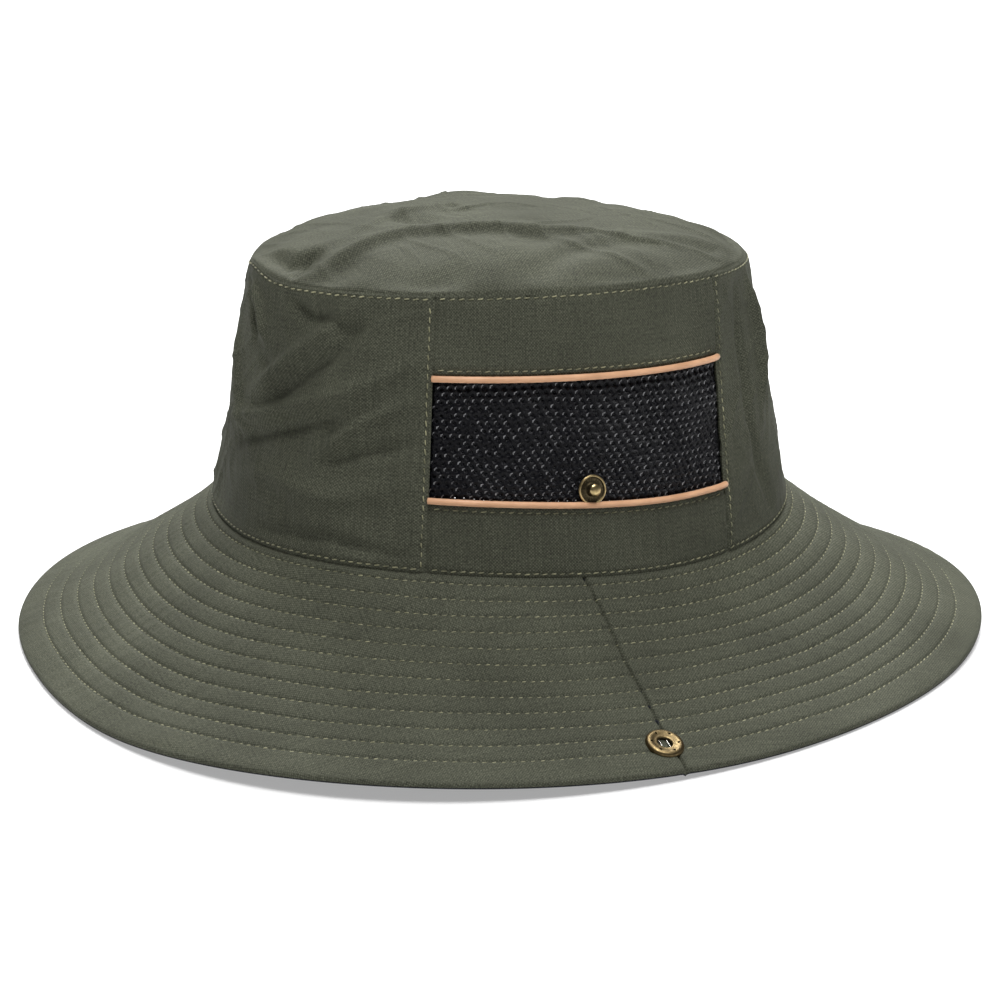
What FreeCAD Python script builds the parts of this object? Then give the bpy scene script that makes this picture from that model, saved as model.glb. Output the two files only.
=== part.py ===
"""Boonie hat: crown, vent panels, three-ply brim with two fold-up sides, and the snaps that hold them.

Millimetres. +Z is up and the front of the hat is -Y, so the wearer's left is +X. The origin is the
centre of the brim's outline, on the surface that the brim's edge rests on.
"""
import FreeCAD, Part
import math
import os

import Sketcher
from FreeCAD import Placement, Rotation, Vector

UP = Vector(0, 0, 1)
HALF_TURN = Placement(Vector(), Rotation(UP, 180))
SIDES = {"left": Placement(), "right": HALF_TURN}

SIZES = [
    # crown
    ("crown_half_width", 88.15, "outer half width of the crown at the brim seam"),
    ("crown_half_length", 102.55, "outer half length of the crown at the brim seam"),
    ("tip_half_width", 72.05, "outer half width of the crown at the tip seam"),
    ("tip_half_length", 87.95, "outer half length of the crown at the tip seam"),
    ("wall_height", 89.0, "brim seam to tip seam"),
    ("tip_rise", 16.9, "crowning of the tip above its seam"),
    ("cloth", 1.0, "plain-weave cloth with its seam allowances"),
    ("ply_gap", 0.15, "air between two plies"),
    # vent panels
    ("vent_front_angle", 35.0, "side axis to the vent panel's front seam"),
    ("vent_rear_angle", 41.0, "side axis to the vent panel's rear seam"),
    ("lower_piping_rise", 23.6, "brim seam to the lower piping"),
    ("upper_piping_rise", 62.3, "brim seam to the upper piping"),
    ("piping_bore", 2.2, "piping diameter"),
    # inside the crown
    ("lining", 0.8, "thickness of the sweatband and the seam tapes"),
    ("sweatband_height", 22.0, "height of the sweatband"),
    ("tape_width", 9.0, "width of the tape over the tip seam"),
    ("tape_angle", 5.0, "angle that a panel seam's tape covers"),
    # brim
    ("brim_reach", 71.7, "brim seam to edge, measured level"),
    ("brim_drop", 42.0, "brim seam to edge, measured down"),
    ("brim_hollow", 4.46, "how far the middle of the brim dips below a straight line"),
    ("edge_height", 3.0, "top of the brim's edge above the ground"),
    ("upper_ply", 0.9, "upper brim cloth"),
    ("stiffener_ply", 0.9, "brim stiffener"),
    ("under_ply", 1.4, "under-brim cloth with the turned hem"),
    ("fold_reach", 18.25, "brim seam to the fold of a side, measured level"),
    ("fold_gap", 0.5, "clearance along the fold"),
    # snaps
    ("stud_rise", 27.6, "brim seam to the stud's centre"),
    ("stud_radius", 4.9, "stud flange radius"),
    ("stud_standoff", 1.45, "stud flange above the mesh, over the piping"),
    ("post_radius", 4.2, "flange radius of the stud's inner post"),
    ("socket_reach", 59.1, "brim seam to the socket's centre, measured level"),
    ("socket_radius", 6.2, "socket radius"),
    ("cap_radius", 6.3, "radius of the cap under the brim"),
    ("wire", 0.5, "diameter of the socket's spring wires"),
    ("snap_hole", 2.0, "radius of the holes that the snaps pass through"),
]

doc = FreeCAD.newDocument("boonie_hat")
sheet = doc.addObject("Spreadsheet::Sheet", "sizes")
for row, (alias, value, note) in enumerate(SIZES, start=1):
    sheet.set(f"A{row}", alias)
    sheet.set(f"B{row}", str(value))
    sheet.setAlias(f"B{row}", alias)
    sheet.set(f"C{row}", note)
doc.recompute()

sub_parts = []


def size(alias):
    """A size from the sheet."""
    return float(sheet.get(alias))


def cell(alias):
    """The expression that reads a size."""
    return f"sizes.{alias}"


def add(kind, name, **bound):
    """A document object with properties bound to expressions."""
    item = doc.addObject(kind, name)
    item.Label = name
    for field, expression in bound.items():
        item.setExpression(field, expression)
    return item


def keep(item):
    """Marks an object as a sub-part, written under its Label."""
    sub_parts.append(item)
    return item


def ellipse(name, half_width, half_length, height):
    """A level ellipse with its long axis front to back."""
    ring = add("Part::Ellipse", name, MajorRadius=half_length, MinorRadius=half_width)
    ring.Placement = Placement(Vector(), Rotation(UP, 90))
    ring.setExpression("Placement.Base.z", height)
    return ring


def loft(name, rings):
    """A solid with straight sides between level rings."""
    solid = add("Part::Loft", name)
    solid.Sections = rings
    solid.Solid = True
    solid.Ruled = True
    return solid


def cut(name, base, tool):
    """Base less tool."""
    result = add("Part::Cut", name)
    result.Base = base
    result.Tool = tool
    return result


def common(name, *shapes):
    """What all the shapes share."""
    result = add("Part::MultiCommon", name)
    result.Shapes = list(shapes)
    return result


def box(name, low, high):
    """A box between two corners of expressions."""
    spans = [f"({top}) - ({bottom})" for bottom, top in zip(low, high)]
    block = add("Part::Box", name, Length=spans[0], Width=spans[1], Height=spans[2])
    for axis, bottom in zip("xyz", low):
        block.setExpression(f"Placement.Base.{axis}", bottom)
    return block


def slab(name, bottom, top):
    """Everything between two heights."""
    return box(name, ("-250", "-250", bottom), ("250", "250", top))


def sector(name, start, sweep):
    """A wedge about the crown's axis, from a start angle through a sweep, both in degrees."""
    wedge = add("Part::Cylinder", name, Radius="250", Height="250", Angle=f"({sweep}) * 1 deg")
    wedge.Placement = Placement(Vector(0, 0, -20), Rotation(UP, 0))
    wedge.setExpression("Placement.Rotation.Angle", f"({start}) * 1 deg")
    return wedge


BRIM_SHARES = (0, 0.18, 0.36, 0.54, 0.72, 0.9, 1.06)
SEAM_HEIGHT = f"({cell('edge_height')} + {cell('brim_drop')})"
TIP_HEIGHT = f"({SEAM_HEIGHT} + {cell('wall_height')})"


def wall_ring(name, rise, inward):
    """The crown wall's outline at a rise above the brim seam, moved inward."""
    fraction = f"({rise}) / {cell('wall_height')}"
    radii = [
        f"{cell('crown_half_' + way)} - ({cell('crown_half_' + way)} - {cell('tip_half_' + way)})"
        f" * {fraction} - ({inward})" for way in ("width", "length")
    ]
    return ellipse(name, *radii, f"{SEAM_HEIGHT} + ({rise})")


def wall_shell(name, bottom, top, inward, thickness):
    """A ring of the crown wall's slope between two rises."""
    skins = []
    for skin, depth in (("outside", inward), ("inside", f"{inward} + {thickness}")):
        low = wall_ring(f"{name}_{skin}_low", bottom, depth)
        high = wall_ring(f"{name}_{skin}_high", top, depth)
        skins.append(loft(f"{name}_{skin}", [low, high]))
    return cut(name, *skins)


def brim_ring(name, share, lower):
    """The brim's outline at a share of its reach, lowered under the top face."""
    reach = f"{cell('brim_reach')} * {share}"
    height = (
        f"{cell('edge_height')} + {cell('brim_drop')} * (1 - {share})"
        f" - 4 * {cell('brim_hollow')} * {share} * (1 - {share}) - ({lower})"
    )
    radii = [f"{cell('crown_half_' + way)} + {reach}" for way in ("width", "length")]
    return ellipse(name, *radii, height)


def brim_body(name, lower):
    """Everything below the brim's top face lowered by a depth."""
    return loft(name, [brim_ring(f"{name}_{index}", share, lower) for index, share in enumerate(BRIM_SHARES)])


def upright(name, extra):
    """An upright elliptical prism, the crown's outline at the brim seam moved outward by an extra."""
    radii = [f"{cell('crown_half_' + way)} + ({extra})" for way in ("width", "length")]
    return loft(name, [ellipse(f"{name}_low", *radii, "-30"), ellipse(f"{name}_high", *radii, "90")])


def snap_seat(reach, rise, slope, offset):
    """The place of a snap on the left side: Z along the face's normal, moved out by an offset."""
    normal = Vector(math.sin(slope), 0, math.cos(slope))
    return Placement(Vector(reach, 0, rise) + normal * offset, Rotation(UP, normal))


def outline(body, name, unit, corners):
    """A closed sketch on the body's XZ plane, its corners given as shares of one size."""
    sketch = body.newObject("Sketcher::SketchObject", name)
    plane = next(item for item in body.Origin.OriginFeatures if item.Role == "XZ_Plane")
    sketch.AttachmentSupport = (plane, [""])
    sketch.MapMode = "FlatFace"
    scale = size(unit)
    points = [Vector(across * scale, up * scale, 0) for across, up in corners]
    for start, end in zip(points, points[1:] + points[:1]):
        sketch.addGeometry(Part.LineSegment(start, end), False)
    for index, (across, up) in enumerate(corners):
        sketch.addConstraint(Sketcher.Constraint("Coincident", index, 2, (index + 1) % len(corners), 1))
        if across == 0:
            sketch.addConstraint(Sketcher.Constraint("PointOnObject", index, 1, -2))
        else:
            bind(sketch, "DistanceX", index, unit, across)
        bind(sketch, "DistanceY", index, unit, up)
    return sketch


def bind(sketch, kind, corner, unit, share):
    """Ties one coordinate of a corner to a share of a size."""
    rule = Sketcher.Constraint(kind, -1, 1, corner, 1, share * size(unit))
    number = sketch.addConstraint(rule)
    sketch.setExpression(f"Constraints[{number}]", f"{cell(unit)} * {share}")


def turned(name, unit, corners):
    """A body turned about Z from its half section."""
    body = doc.addObject("PartDesign::Body", name)
    body.Label = name
    sketch = outline(body, f"{name}_section", unit, corners)
    revolution = body.newObject("PartDesign::Revolution", f"{name}_turn")
    revolution.Profile = sketch
    revolution.ReferenceAxis = (sketch, ["V_Axis"])
    revolution.Angle = 360
    sketch.Visibility = False
    return body


def ring_of_holes(body, count, unit, circle, hole, depth):
    """Blind holes on a circle, all given as shares of one size, cut down from the body's top."""
    doc.recompute()
    whole = body.Shape.Volume
    sketch = body.newObject("Sketcher::SketchObject", f"{body.Name}_hole")
    plane = next(item for item in body.Origin.OriginFeatures if item.Role == "XY_Plane")
    sketch.AttachmentSupport = (plane, [""])
    sketch.MapMode = "FlatFace"
    sketch.setExpression("AttachmentOffset.Base.z", cell(unit))
    scale = size(unit)
    sketch.addGeometry(Part.Circle(Vector(circle * scale, 0, 0), UP, hole * scale), False)
    sketch.addConstraint(Sketcher.Constraint("PointOnObject", 0, 3, -1))
    for kind, share in (("DistanceX", circle), ("Radius", hole)):
        where = (-1, 1, 0, 3) if kind == "DistanceX" else (0,)
        number = sketch.addConstraint(Sketcher.Constraint(kind, *where, share * scale))
        sketch.setExpression(f"Constraints[{number}]", f"{cell(unit)} * {share}")
    pocket = body.newObject("PartDesign::Pocket", f"{body.Name}_pocket")
    pocket.Profile = sketch
    pocket.setExpression("Length", f"{cell(unit)} * {1 - depth}")
    pattern = body.newObject("PartDesign::PolarPattern", f"{body.Name}_pattern")
    pattern.Originals = [pocket]
    pattern.Axis = (sketch, ["N_Axis"])
    pattern.Angle = 360
    pattern.Occurrences = count
    body.Tip = pattern
    doc.recompute()
    if body.Shape.Volume >= whole:
        raise RuntimeError(f"{body.Label}: the holes cut nothing")


# ---- crown wall: front and rear panels, and a vent panel on each side --------------------------------
SEAM_GAP_ANGLE = 0.12
wall = wall_shell("wall", cell("ply_gap"), cell("wall_height"), "0", cell("cloth"))
front_angle = cell("vent_front_angle")
rear_angle = cell("vent_rear_angle")
front_sector = sector("front_sector", f"-180 + {front_angle} + {SEAM_GAP_ANGLE}",
                      f"180 - 2 * {front_angle} - 2 * {SEAM_GAP_ANGLE}")
rear_sector = sector("rear_sector", f"{rear_angle} + {SEAM_GAP_ANGLE}",
                     f"180 - 2 * {rear_angle} - 2 * {SEAM_GAP_ANGLE}")
keep(common("front_panel", wall, front_sector))
keep(common("rear_panel", wall, rear_sector))

vent_sectors = {
    "left": sector("left_sector", f"-{front_angle}", f"{front_angle} + {rear_angle}"),
    "right": sector("right_sector", f"180 - {rear_angle}", f"{front_angle} + {rear_angle}"),
}
piping_share = f"{cell('piping_bore')} * 0.57"
lower_piping_height = f"{SEAM_HEIGHT} + {cell('lower_piping_rise')}"
upper_piping_height = f"{SEAM_HEIGHT} + {cell('upper_piping_rise')}"
mesh_bottom = f"{lower_piping_height} + {piping_share}"
mesh_top = f"{upper_piping_height} - {piping_share}"
vent_slabs = {
    "lower_strip": slab("lower_strip_slab", "0", f"{lower_piping_height} - {piping_share}"),
    "mesh": slab("mesh_slab", mesh_bottom, mesh_top),
    "upper_strip": slab("upper_strip_slab", f"{upper_piping_height} + {piping_share}", "250"),
}

# ---- places of the snaps on the left side ---------------------------------------------------------
lean = math.atan2(size("crown_half_width") - size("tip_half_width"), size("wall_height"))
stud_x = size("crown_half_width") - math.tan(lean) * size("stud_rise")
stud_z = size("edge_height") + size("brim_drop") + size("stud_rise")
wall_slope = math.pi / 2 - lean

share = size("socket_reach") / size("brim_reach")
hollow = 4 * size("brim_hollow") * share * (1 - share)
socket_x = size("crown_half_width") + size("socket_reach")
socket_z = size("edge_height") + size("brim_drop") * (1 - share) - hollow
fall = (size("brim_drop") + 4 * size("brim_hollow") * (1 - 2 * share)) / size("brim_reach")
brim_slope = math.atan(fall)
brim_depth = (size("upper_ply") + size("stiffener_ply") + size("under_ply")
              + 2 * size("ply_gap")) * math.cos(brim_slope)


def snap_hole(name, seat):
    """A hole through the cloth at a snap's seat."""
    drill = add("Part::Cylinder", name, Radius=cell("snap_hole"), Height="24")
    drill.Placement = seat * Placement(Vector(0, 0, -12), Rotation())
    return drill


stud_seat = snap_seat(stud_x, stud_z, wall_slope, 0)
socket_seat = snap_seat(socket_x, socket_z, brim_slope, 0)

# ---- vent panels, with piping over both edges of the mesh ------------------------------------------
for side, turn in SIDES.items():
    for piece, block in vent_slabs.items():
        if piece == "mesh":
            cloth = common(f"{side}_mesh_blank", wall, vent_sectors[side], block)
            keep(cut(f"{side}_mesh", cloth, snap_hole(f"{side}_stud_hole", turn * stud_seat)))
        else:
            keep(common(f"{side}_{piece}", wall, vent_sectors[side], block))

PIPING_PROUD = 0.2
for side, turn in SIDES.items():
    for level in ("lower", "upper"):
        rise = size(f"{level}_piping_rise")
        radii = {
            way: size(f"crown_half_{way}") + PIPING_PROUD
            - (size(f"crown_half_{way}") - size(f"tip_half_{way}")) * rise / size("wall_height")
            for way in ("width", "length")
        }
        curve = Part.Ellipse(Vector(), radii["length"], radii["width"])
        angles = []
        for angle in (-size("vent_front_angle"), size("vent_rear_angle")):
            across = math.tan(math.radians(angle)) * radii["width"] / radii["length"]
            angles.append(math.atan(across) - math.pi / 2)
        path = curve.toShape(angles[0] + 2 * math.pi, angles[1] + 2 * math.pi)
        path.Placement = Placement(Vector(0, 0, stud_z - size("stud_rise") + rise), Rotation(UP, 90))
        start = path.valueAt(path.FirstParameter)
        along = path.tangentAt(path.FirstParameter)
        section = Part.Wire(Part.Circle(start, along, size("piping_bore") / 2).toShape())
        cord = add("Part::Feature", f"{side}_{level}_piping")
        cord.Shape = Part.Wire(path).makePipeShell([section], True, True)
        if side == "right":
            cord.Shape = cord.Shape.mirror(Vector(), Vector(1, 0, 0))
        keep(cord)

# ---- crown tip ------------------------------------------------------------------------------------
TIP_STATIONS = (1.0, 0.85, 0.65, 0.4, 0.15)
TIP_POWER = 2.2


def tip_body(name, lower):
    """Everything below the tip's top face lowered by a depth."""
    rings = []
    for index, station in enumerate(TIP_STATIONS):
        radii = [f"{cell('tip_half_' + way)} * {station}" for way in ("width", "length")]
        climb = f"{cell('tip_rise')} * {1 - station ** TIP_POWER:.6f}"
        height = f"{TIP_HEIGHT} + {cell('ply_gap')} + {climb} - ({lower})"
        rings.append(ellipse(f"{name}_{index}", *radii, height))
    return loft(name, rings)


keep(cut("crown_tip", tip_body("tip_outside", "0"), tip_body("tip_inside", cell("cloth"))))

# ---- inside the crown: sweatband, tape over the tip seam, tapes over the four panel seams ---------
lining_depth = f"{cell('cloth')} + {cell('ply_gap')}"
tape_bottom = f"{cell('wall_height')} - {cell('tape_width')}"
keep(wall_shell("sweatband", "0.3", cell("sweatband_height"), lining_depth, cell("lining")))
keep(wall_shell("tip_seam_tape", tape_bottom, f"{cell('wall_height')} - 0.5", lining_depth, cell("lining")))

liner = wall_shell("liner", f"{cell('sweatband_height')} + 1", f"{tape_bottom} - 1", lining_depth,
                   cell("lining"))
seam_angles = {
    "left_front": f"-{front_angle}",
    "left_rear": rear_angle,
    "right_rear": f"180 - {rear_angle}",
    "right_front": f"180 + {front_angle}",
}
for seam, angle in seam_angles.items():
    wedge = sector(f"{seam}_tape_sector", f"{angle} - {cell('tape_angle')} / 2", cell("tape_angle"))
    keep(common(f"{seam}_seam_tape", liner, wedge))

# ---- brim: upper cloth, stiffener and under cloth -------------------------------------------------
plies = {
    "upper": ("0", cell("upper_ply")),
    "stiffener": (cell("upper_ply") + " + " + cell("ply_gap"), cell("stiffener_ply")),
    "under": (f"{cell('upper_ply')} + {cell('stiffener_ply')} + 2 * {cell('ply_gap')}", cell("under_ply")),
}
ground = slab("above_ground", "0", "120")
edge_trim = upright("edge_trim", cell("brim_reach"))
crown_hole = upright("crown_hole", f"-{cell('cloth')}")
brim_plies = {}
for ply, (depth, thickness) in plies.items():
    top_body = brim_body(f"{ply}_top", depth)
    bottom_body = brim_body(f"{ply}_bottom", f"{depth} + {thickness}")
    layer = cut(f"{ply}_layer", top_body, bottom_body)
    layer = common(f"{ply}_trimmed", layer, edge_trim, ground)
    layer = cut(f"{ply}_ring", layer, crown_hole)
    for side, turn in SIDES.items():
        layer = cut(f"{ply}_{side}_pierced", layer, snap_hole(f"{ply}_{side}_hole", turn * socket_seat))
    brim_plies[ply] = layer

# The plies are cut along the fold of each side; the cloths are also cut at the side seams.
fold = f"({cell('crown_half_width')} + {cell('fold_reach')})"
near = f"{fold} - {cell('fold_gap')} / 2"
far = f"{fold} + {cell('fold_gap')} / 2"
across_spans = {
    "brim": (f"-({near})", near),
    "left_flap": (far, "250"),
    "right_flap": ("-250", f"-({far})"),
}
half_gap = f"{cell('ply_gap')} / 2"
along_spans = {"front": ("-250", f"-{half_gap}"), "rear": (half_gap, "250")}
for region, (west, east) in across_spans.items():
    whole = box(f"{region}_block", (west, "-250", "-20"), (east, "250", "120"))
    keep(common(f"{region}_stiffener", brim_plies["stiffener"], whole))
    for end, (south, north) in along_spans.items():
        half = box(f"{region}_{end}_block", (west, south, "-20"), (east, north, "120"))
        for ply in ("upper", "under"):
            keep(common(f"{region}_{ply}_{end}", brim_plies[ply], half))

# ---- snaps: a stud and its post on the mesh, a socket, its spring and its cap on the brim ----------
STUD = (
    (0, 0.10), (0.235, 0.10), (0.235, -0.49), (0.35, -0.49), (0.35, 0), (0.92, 0), (1, 0.07), (1, 0.16),
    (0.92, 0.22), (0.80, 0.20), (0.74, 0.10), (0.40, 0.10), (0.33, 0.24), (0.28, 0.34), (0.36, 0.48),
    (0.31, 0.60), (0.17, 0.67), (0, 0.69),
)
POST = ((0, -0.20), (0.94, -0.20), (1, -0.12), (0.97, 0), (0.24, 0), (0.24, 0.68), (0, 0.68))
SOCKET = (
    (0.34, 0), (0.90, 0), (1, 0.10), (1, 0.26), (0.94, 0.35), (0.79, 0.39), (0.65, 0.34), (0.55, 0.35),
    (0.49, 0.46), (0.40, 0.46), (0.34, 0.40), (0.34, 0.34), (0.47, 0.34), (0.47, 0.22), (0.34, 0.22),
)
CAP = ((0, -0.25), (0.50, -0.23), (0.86, -0.16), (1, -0.05), (0.97, 0), (0.25, 0), (0.25, 0.60), (0, 0.60))
BACK_GAP = 0.1
SOCKET_GAP = 0.45
wall_back = size("cloth") + BACK_GAP
under_back = brim_depth + BACK_GAP

for side, turn in SIDES.items():
    stud = keep(turned(f"{side}_stud", "stud_radius", STUD))
    stud.Placement = turn * snap_seat(stud_x, stud_z, wall_slope, size("stud_standoff"))

    post = keep(turned(f"{side}_stud_post", "post_radius", POST))
    post.Placement = turn * snap_seat(stud_x, stud_z, wall_slope, -wall_back)

    socket = keep(turned(f"{side}_socket", "socket_radius", SOCKET))
    ring_of_holes(socket, 6, "socket_radius", 0.79, 0.07, 0.30)
    socket.Placement = turn * snap_seat(socket_x, socket_z, brim_slope, SOCKET_GAP)

    cap = keep(turned(f"{side}_cap", "cap_radius", CAP))
    cap.Placement = turn * snap_seat(socket_x, socket_z, brim_slope, -under_back)

    wires = []
    reach = size("socket_radius")
    for hand in (-1, 1):
        rod = add("Part::Cylinder", f"{side}_wire_{hand + 1}", Radius=f"{cell('wire')} / 2",
                  Height=f"{cell('socket_radius')} * 0.8")
        start = Vector(hand * reach * 0.2, -reach * 0.4, reach * 0.28)
        rod.Placement = Placement(start, Rotation(Vector(1, 0, 0), -90))
        wires.append(rod)
    spring = keep(add("Part::Compound", f"{side}_socket_spring"))
    spring.Links = wires
    spring.Placement = turn * snap_seat(socket_x, socket_z, brim_slope, SOCKET_GAP)

# ---- check and write -------------------------------------------------------------------------------
doc.recompute()
failed = [item.Label for item in doc.Objects if {"Invalid", "Error"} & set(item.State)]
for item in sub_parts:
    if item.Shape.isNull() or not item.Shape.isValid() or not item.Shape.Solids:
        failed.append(item.Label)
if failed:
    raise RuntimeError(f"failed: {sorted(set(failed))}")

os.makedirs("parts", exist_ok=True)
for item in sub_parts:
    item.Shape.exportStep(f"parts/{item.Label}.step")
    bounds = item.Shape.BoundBox
    print(f"{item.Label:24s} {item.Shape.Volume:10.1f} mm3  {len(item.Shape.Solids)} solid(s)"
          f"  z {bounds.ZMin:.2f}..{bounds.ZMax:.2f}")
print(len(sub_parts), "sub-parts")
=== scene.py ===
"""A boonie hat: puffed crown, vent windows, a row-stitched brim and the snaps that hold its sides up.

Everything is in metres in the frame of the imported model: +Z up, -Y to the front, +X to the wearer's left.
"""

import logging
import math
from dataclasses import dataclass, replace
from enum import Enum

import bmesh
import bpy
import numpy as np
from mathutils import Matrix, Vector


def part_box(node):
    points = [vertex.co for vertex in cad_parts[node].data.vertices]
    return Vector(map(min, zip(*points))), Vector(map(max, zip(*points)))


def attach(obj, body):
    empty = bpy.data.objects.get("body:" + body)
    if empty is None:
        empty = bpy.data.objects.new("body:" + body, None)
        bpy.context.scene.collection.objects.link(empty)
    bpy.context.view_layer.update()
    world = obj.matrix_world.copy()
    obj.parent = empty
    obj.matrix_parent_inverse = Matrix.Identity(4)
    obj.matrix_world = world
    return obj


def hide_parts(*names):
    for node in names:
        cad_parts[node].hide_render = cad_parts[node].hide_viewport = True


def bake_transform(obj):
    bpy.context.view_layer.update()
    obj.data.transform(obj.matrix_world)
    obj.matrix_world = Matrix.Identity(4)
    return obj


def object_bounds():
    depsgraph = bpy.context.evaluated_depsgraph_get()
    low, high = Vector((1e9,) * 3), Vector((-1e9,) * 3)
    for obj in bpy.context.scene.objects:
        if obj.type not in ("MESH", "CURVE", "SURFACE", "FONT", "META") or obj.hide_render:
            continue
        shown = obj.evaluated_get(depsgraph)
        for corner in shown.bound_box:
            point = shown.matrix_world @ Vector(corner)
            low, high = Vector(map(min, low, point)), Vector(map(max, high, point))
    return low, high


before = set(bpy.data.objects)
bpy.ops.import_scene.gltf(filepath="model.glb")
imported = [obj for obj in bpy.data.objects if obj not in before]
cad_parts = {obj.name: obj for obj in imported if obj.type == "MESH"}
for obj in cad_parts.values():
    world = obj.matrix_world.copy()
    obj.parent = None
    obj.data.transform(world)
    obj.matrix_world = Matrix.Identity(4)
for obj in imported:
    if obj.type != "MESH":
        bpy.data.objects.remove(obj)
CAD_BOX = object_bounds()
LOG = logging.getLogger("boonie_hat")
MM = 0.001
WALL = 90.0
"""The crown wall's height, and near enough its radius at the sides, in millimetres."""
DEPTH = 100.0
"""Near enough the crown's half length, in millimetres."""


class Side(Enum):
    """A side of the hat, as the sign of X."""

    LEFT = 1
    RIGHT = -1

    @property
    def word(self) -> str:
        """The side's name, as the CAD nodes use it."""
        return self.name.lower()

    def angle(self, t: np.ndarray | float) -> np.ndarray | float:
        """The angle on this side that mirrors the left side's angle t."""
        return t if self is Side.LEFT else math.pi - t


class End(Enum):
    """The front or the rear half of the hat, as the sign of Y."""

    FRONT = -1
    REAR = 1

    @property
    def word(self) -> str:
        """The end's name, as the CAD nodes use it."""
        return self.name.lower()


class Profile(Enum):
    """The cross section of a fold in cloth."""

    SOFT = "soft"
    SHARP = "sharp"


# ---- small geometry helpers ----


def smooth_step(x: np.ndarray) -> np.ndarray:
    """Runs smoothly from 0 to 1 as x does."""
    x = np.clip(x, 0.0, 1.0)
    return x * x * (3 - 2 * x)


def bell(x: np.ndarray) -> np.ndarray:
    """A bell curve of height 1 whose shoulder is at x = 1."""
    return np.exp(-x * x)


def unit(vectors: np.ndarray) -> np.ndarray:
    """The vectors, each made one long."""
    return vectors / np.maximum(np.linalg.norm(vectors, axis=-1, keepdims=True), 1e-12)


def waves(a: np.ndarray, b: np.ndarray, length: float, seed: int, count: int = 14) -> np.ndarray:
    """Soft repeatable noise over two coordinates.

    Args:
        a: First coordinate.
        b: Second coordinate.
        length: The usual distance from crest to crest, in the coordinates' unit.
        seed: Picks one pattern.
        count: How many waves are added.

    Returns:
        Values of about -1 to 1.
    """
    random = np.random.default_rng(seed)
    total = np.zeros(np.broadcast(a, b).shape)
    for _ in range(count):
        turn, phase = random.uniform(0, 2 * math.pi, 2)
        pitch = 2 * math.pi / (length * random.uniform(0.7, 1.6))
        total += np.sin(pitch * (a * math.cos(turn) + b * math.sin(turn)) + phase)
    return total / math.sqrt(count)


def grid_normals(points: np.ndarray, closed: bool = False) -> np.ndarray:
    """The unit normals of a grid of points, on the side that columns cross rows points to.

    Args:
        points: Rows by columns by 3.
        closed: Whether the last column is the first one again.

    Returns:
        A unit normal for each point.
    """
    along = np.gradient(points, axis=1)
    if closed:
        along[:, 0] = along[:, -1] = points[:, 1] - points[:, -2]
    return unit(np.cross(along, np.gradient(points, axis=0)))


def steps(length: float, coarse: float, fine: float, band: float) -> np.ndarray:
    """Places from 0 to 1 along a length, closer together within a band at each end.

    Args:
        length: The whole length.
        coarse: The spacing away from the ends.
        fine: The spacing within the bands.
        band: How far a band reaches.

    Returns:
        The places, as shares of the length.
    """
    edge = np.linspace(0, band, round(band / fine), endpoint=False)
    middle = np.linspace(band, length - band, max(2, round((length - 2 * band) / coarse)))
    return np.concatenate([edge, middle, length - edge[::-1]]) / length


@dataclass(frozen=True)
class Fold:
    """A ridge or hollow that runs along a line in a cloth's own coordinates, all in millimetres."""

    line: tuple[tuple[float, float], ...]
    height: float
    width: float
    profile: Profile = Profile.SOFT

    def over(self, a: np.ndarray, b: np.ndarray) -> np.ndarray:
        """The fold's height.

        Args:
            a: The cloth's first coordinate.
            b: The cloth's second coordinate.

        Returns:
            The height at each point, fading out at both ends of the line.
        """
        points = np.array(self.line, float)
        spans = np.linalg.norm(np.diff(points, axis=0), axis=1)
        before = np.concatenate([[0.0], np.cumsum(spans)])
        best = np.full(a.shape, 1e9)
        along = np.zeros(a.shape)
        for start, end, span, run in zip(points[:-1], points[1:], spans, before):
            way = (end - start) / span
            reach = np.clip((a - start[0]) * way[0] + (b - start[1]) * way[1], 0, span)
            off = np.hypot(a - start[0] - way[0] * reach, b - start[1] - way[1] * reach)
            nearer = off < best
            best = np.where(nearer, off, best)
            along = np.where(nearer, run + reach, along)
        share = along / before[-1]
        fade = 0.25 + 0.75 * smooth_step(share / 0.3) * smooth_step((1 - share) / 0.3)
        section = bell(best / self.width) if self.profile is Profile.SOFT else np.exp(-best / self.width)
        return self.height * fade * section


# ---- meshes ----


def new_object(name: str, verts: np.ndarray, faces: list, uv: np.ndarray | None = None) -> bpy.types.Object:
    """A mesh object in the scene.

    Args:
        name: The piece's name.
        verts: Its points.
        faces: Lists of point numbers.
        uv: A cloth coordinate for each point, in metres.

    Returns:
        The new object.
    """
    mesh = bpy.data.meshes.new(name)
    mesh.from_pydata([tuple(v) for v in verts], [], faces)
    if uv is not None:
        layer = mesh.uv_layers.new(name="cloth")
        corner = np.zeros(len(mesh.loops), np.int32)
        mesh.loops.foreach_get("vertex_index", corner)
        layer.data.foreach_set("uv", uv[corner].astype(np.float32).ravel())
    mesh.update()
    piece = bpy.data.objects.new(name, mesh)
    bpy.context.scene.collection.objects.link(piece)
    return piece


def grid_faces(rows: int, columns: int, closed: bool = False, start: int = 0) -> list:
    """The quads of a grid of points in row order, joined round its columns if closed.

    Args:
        rows: How many rows of points there are.
        columns: How many points each row has.
        closed: Whether the last column joins the first.
        start: The number of the first point.

    Returns:
        The faces, as four point numbers each.
    """
    quads = []
    for row in range(rows - 1):
        for column in range(columns if closed else columns - 1):
            right = (column + 1) % columns
            low, high = start + row * columns, start + (row + 1) * columns
            quads.append((low + column, low + right, high + right, high + column))
    return quads


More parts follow.
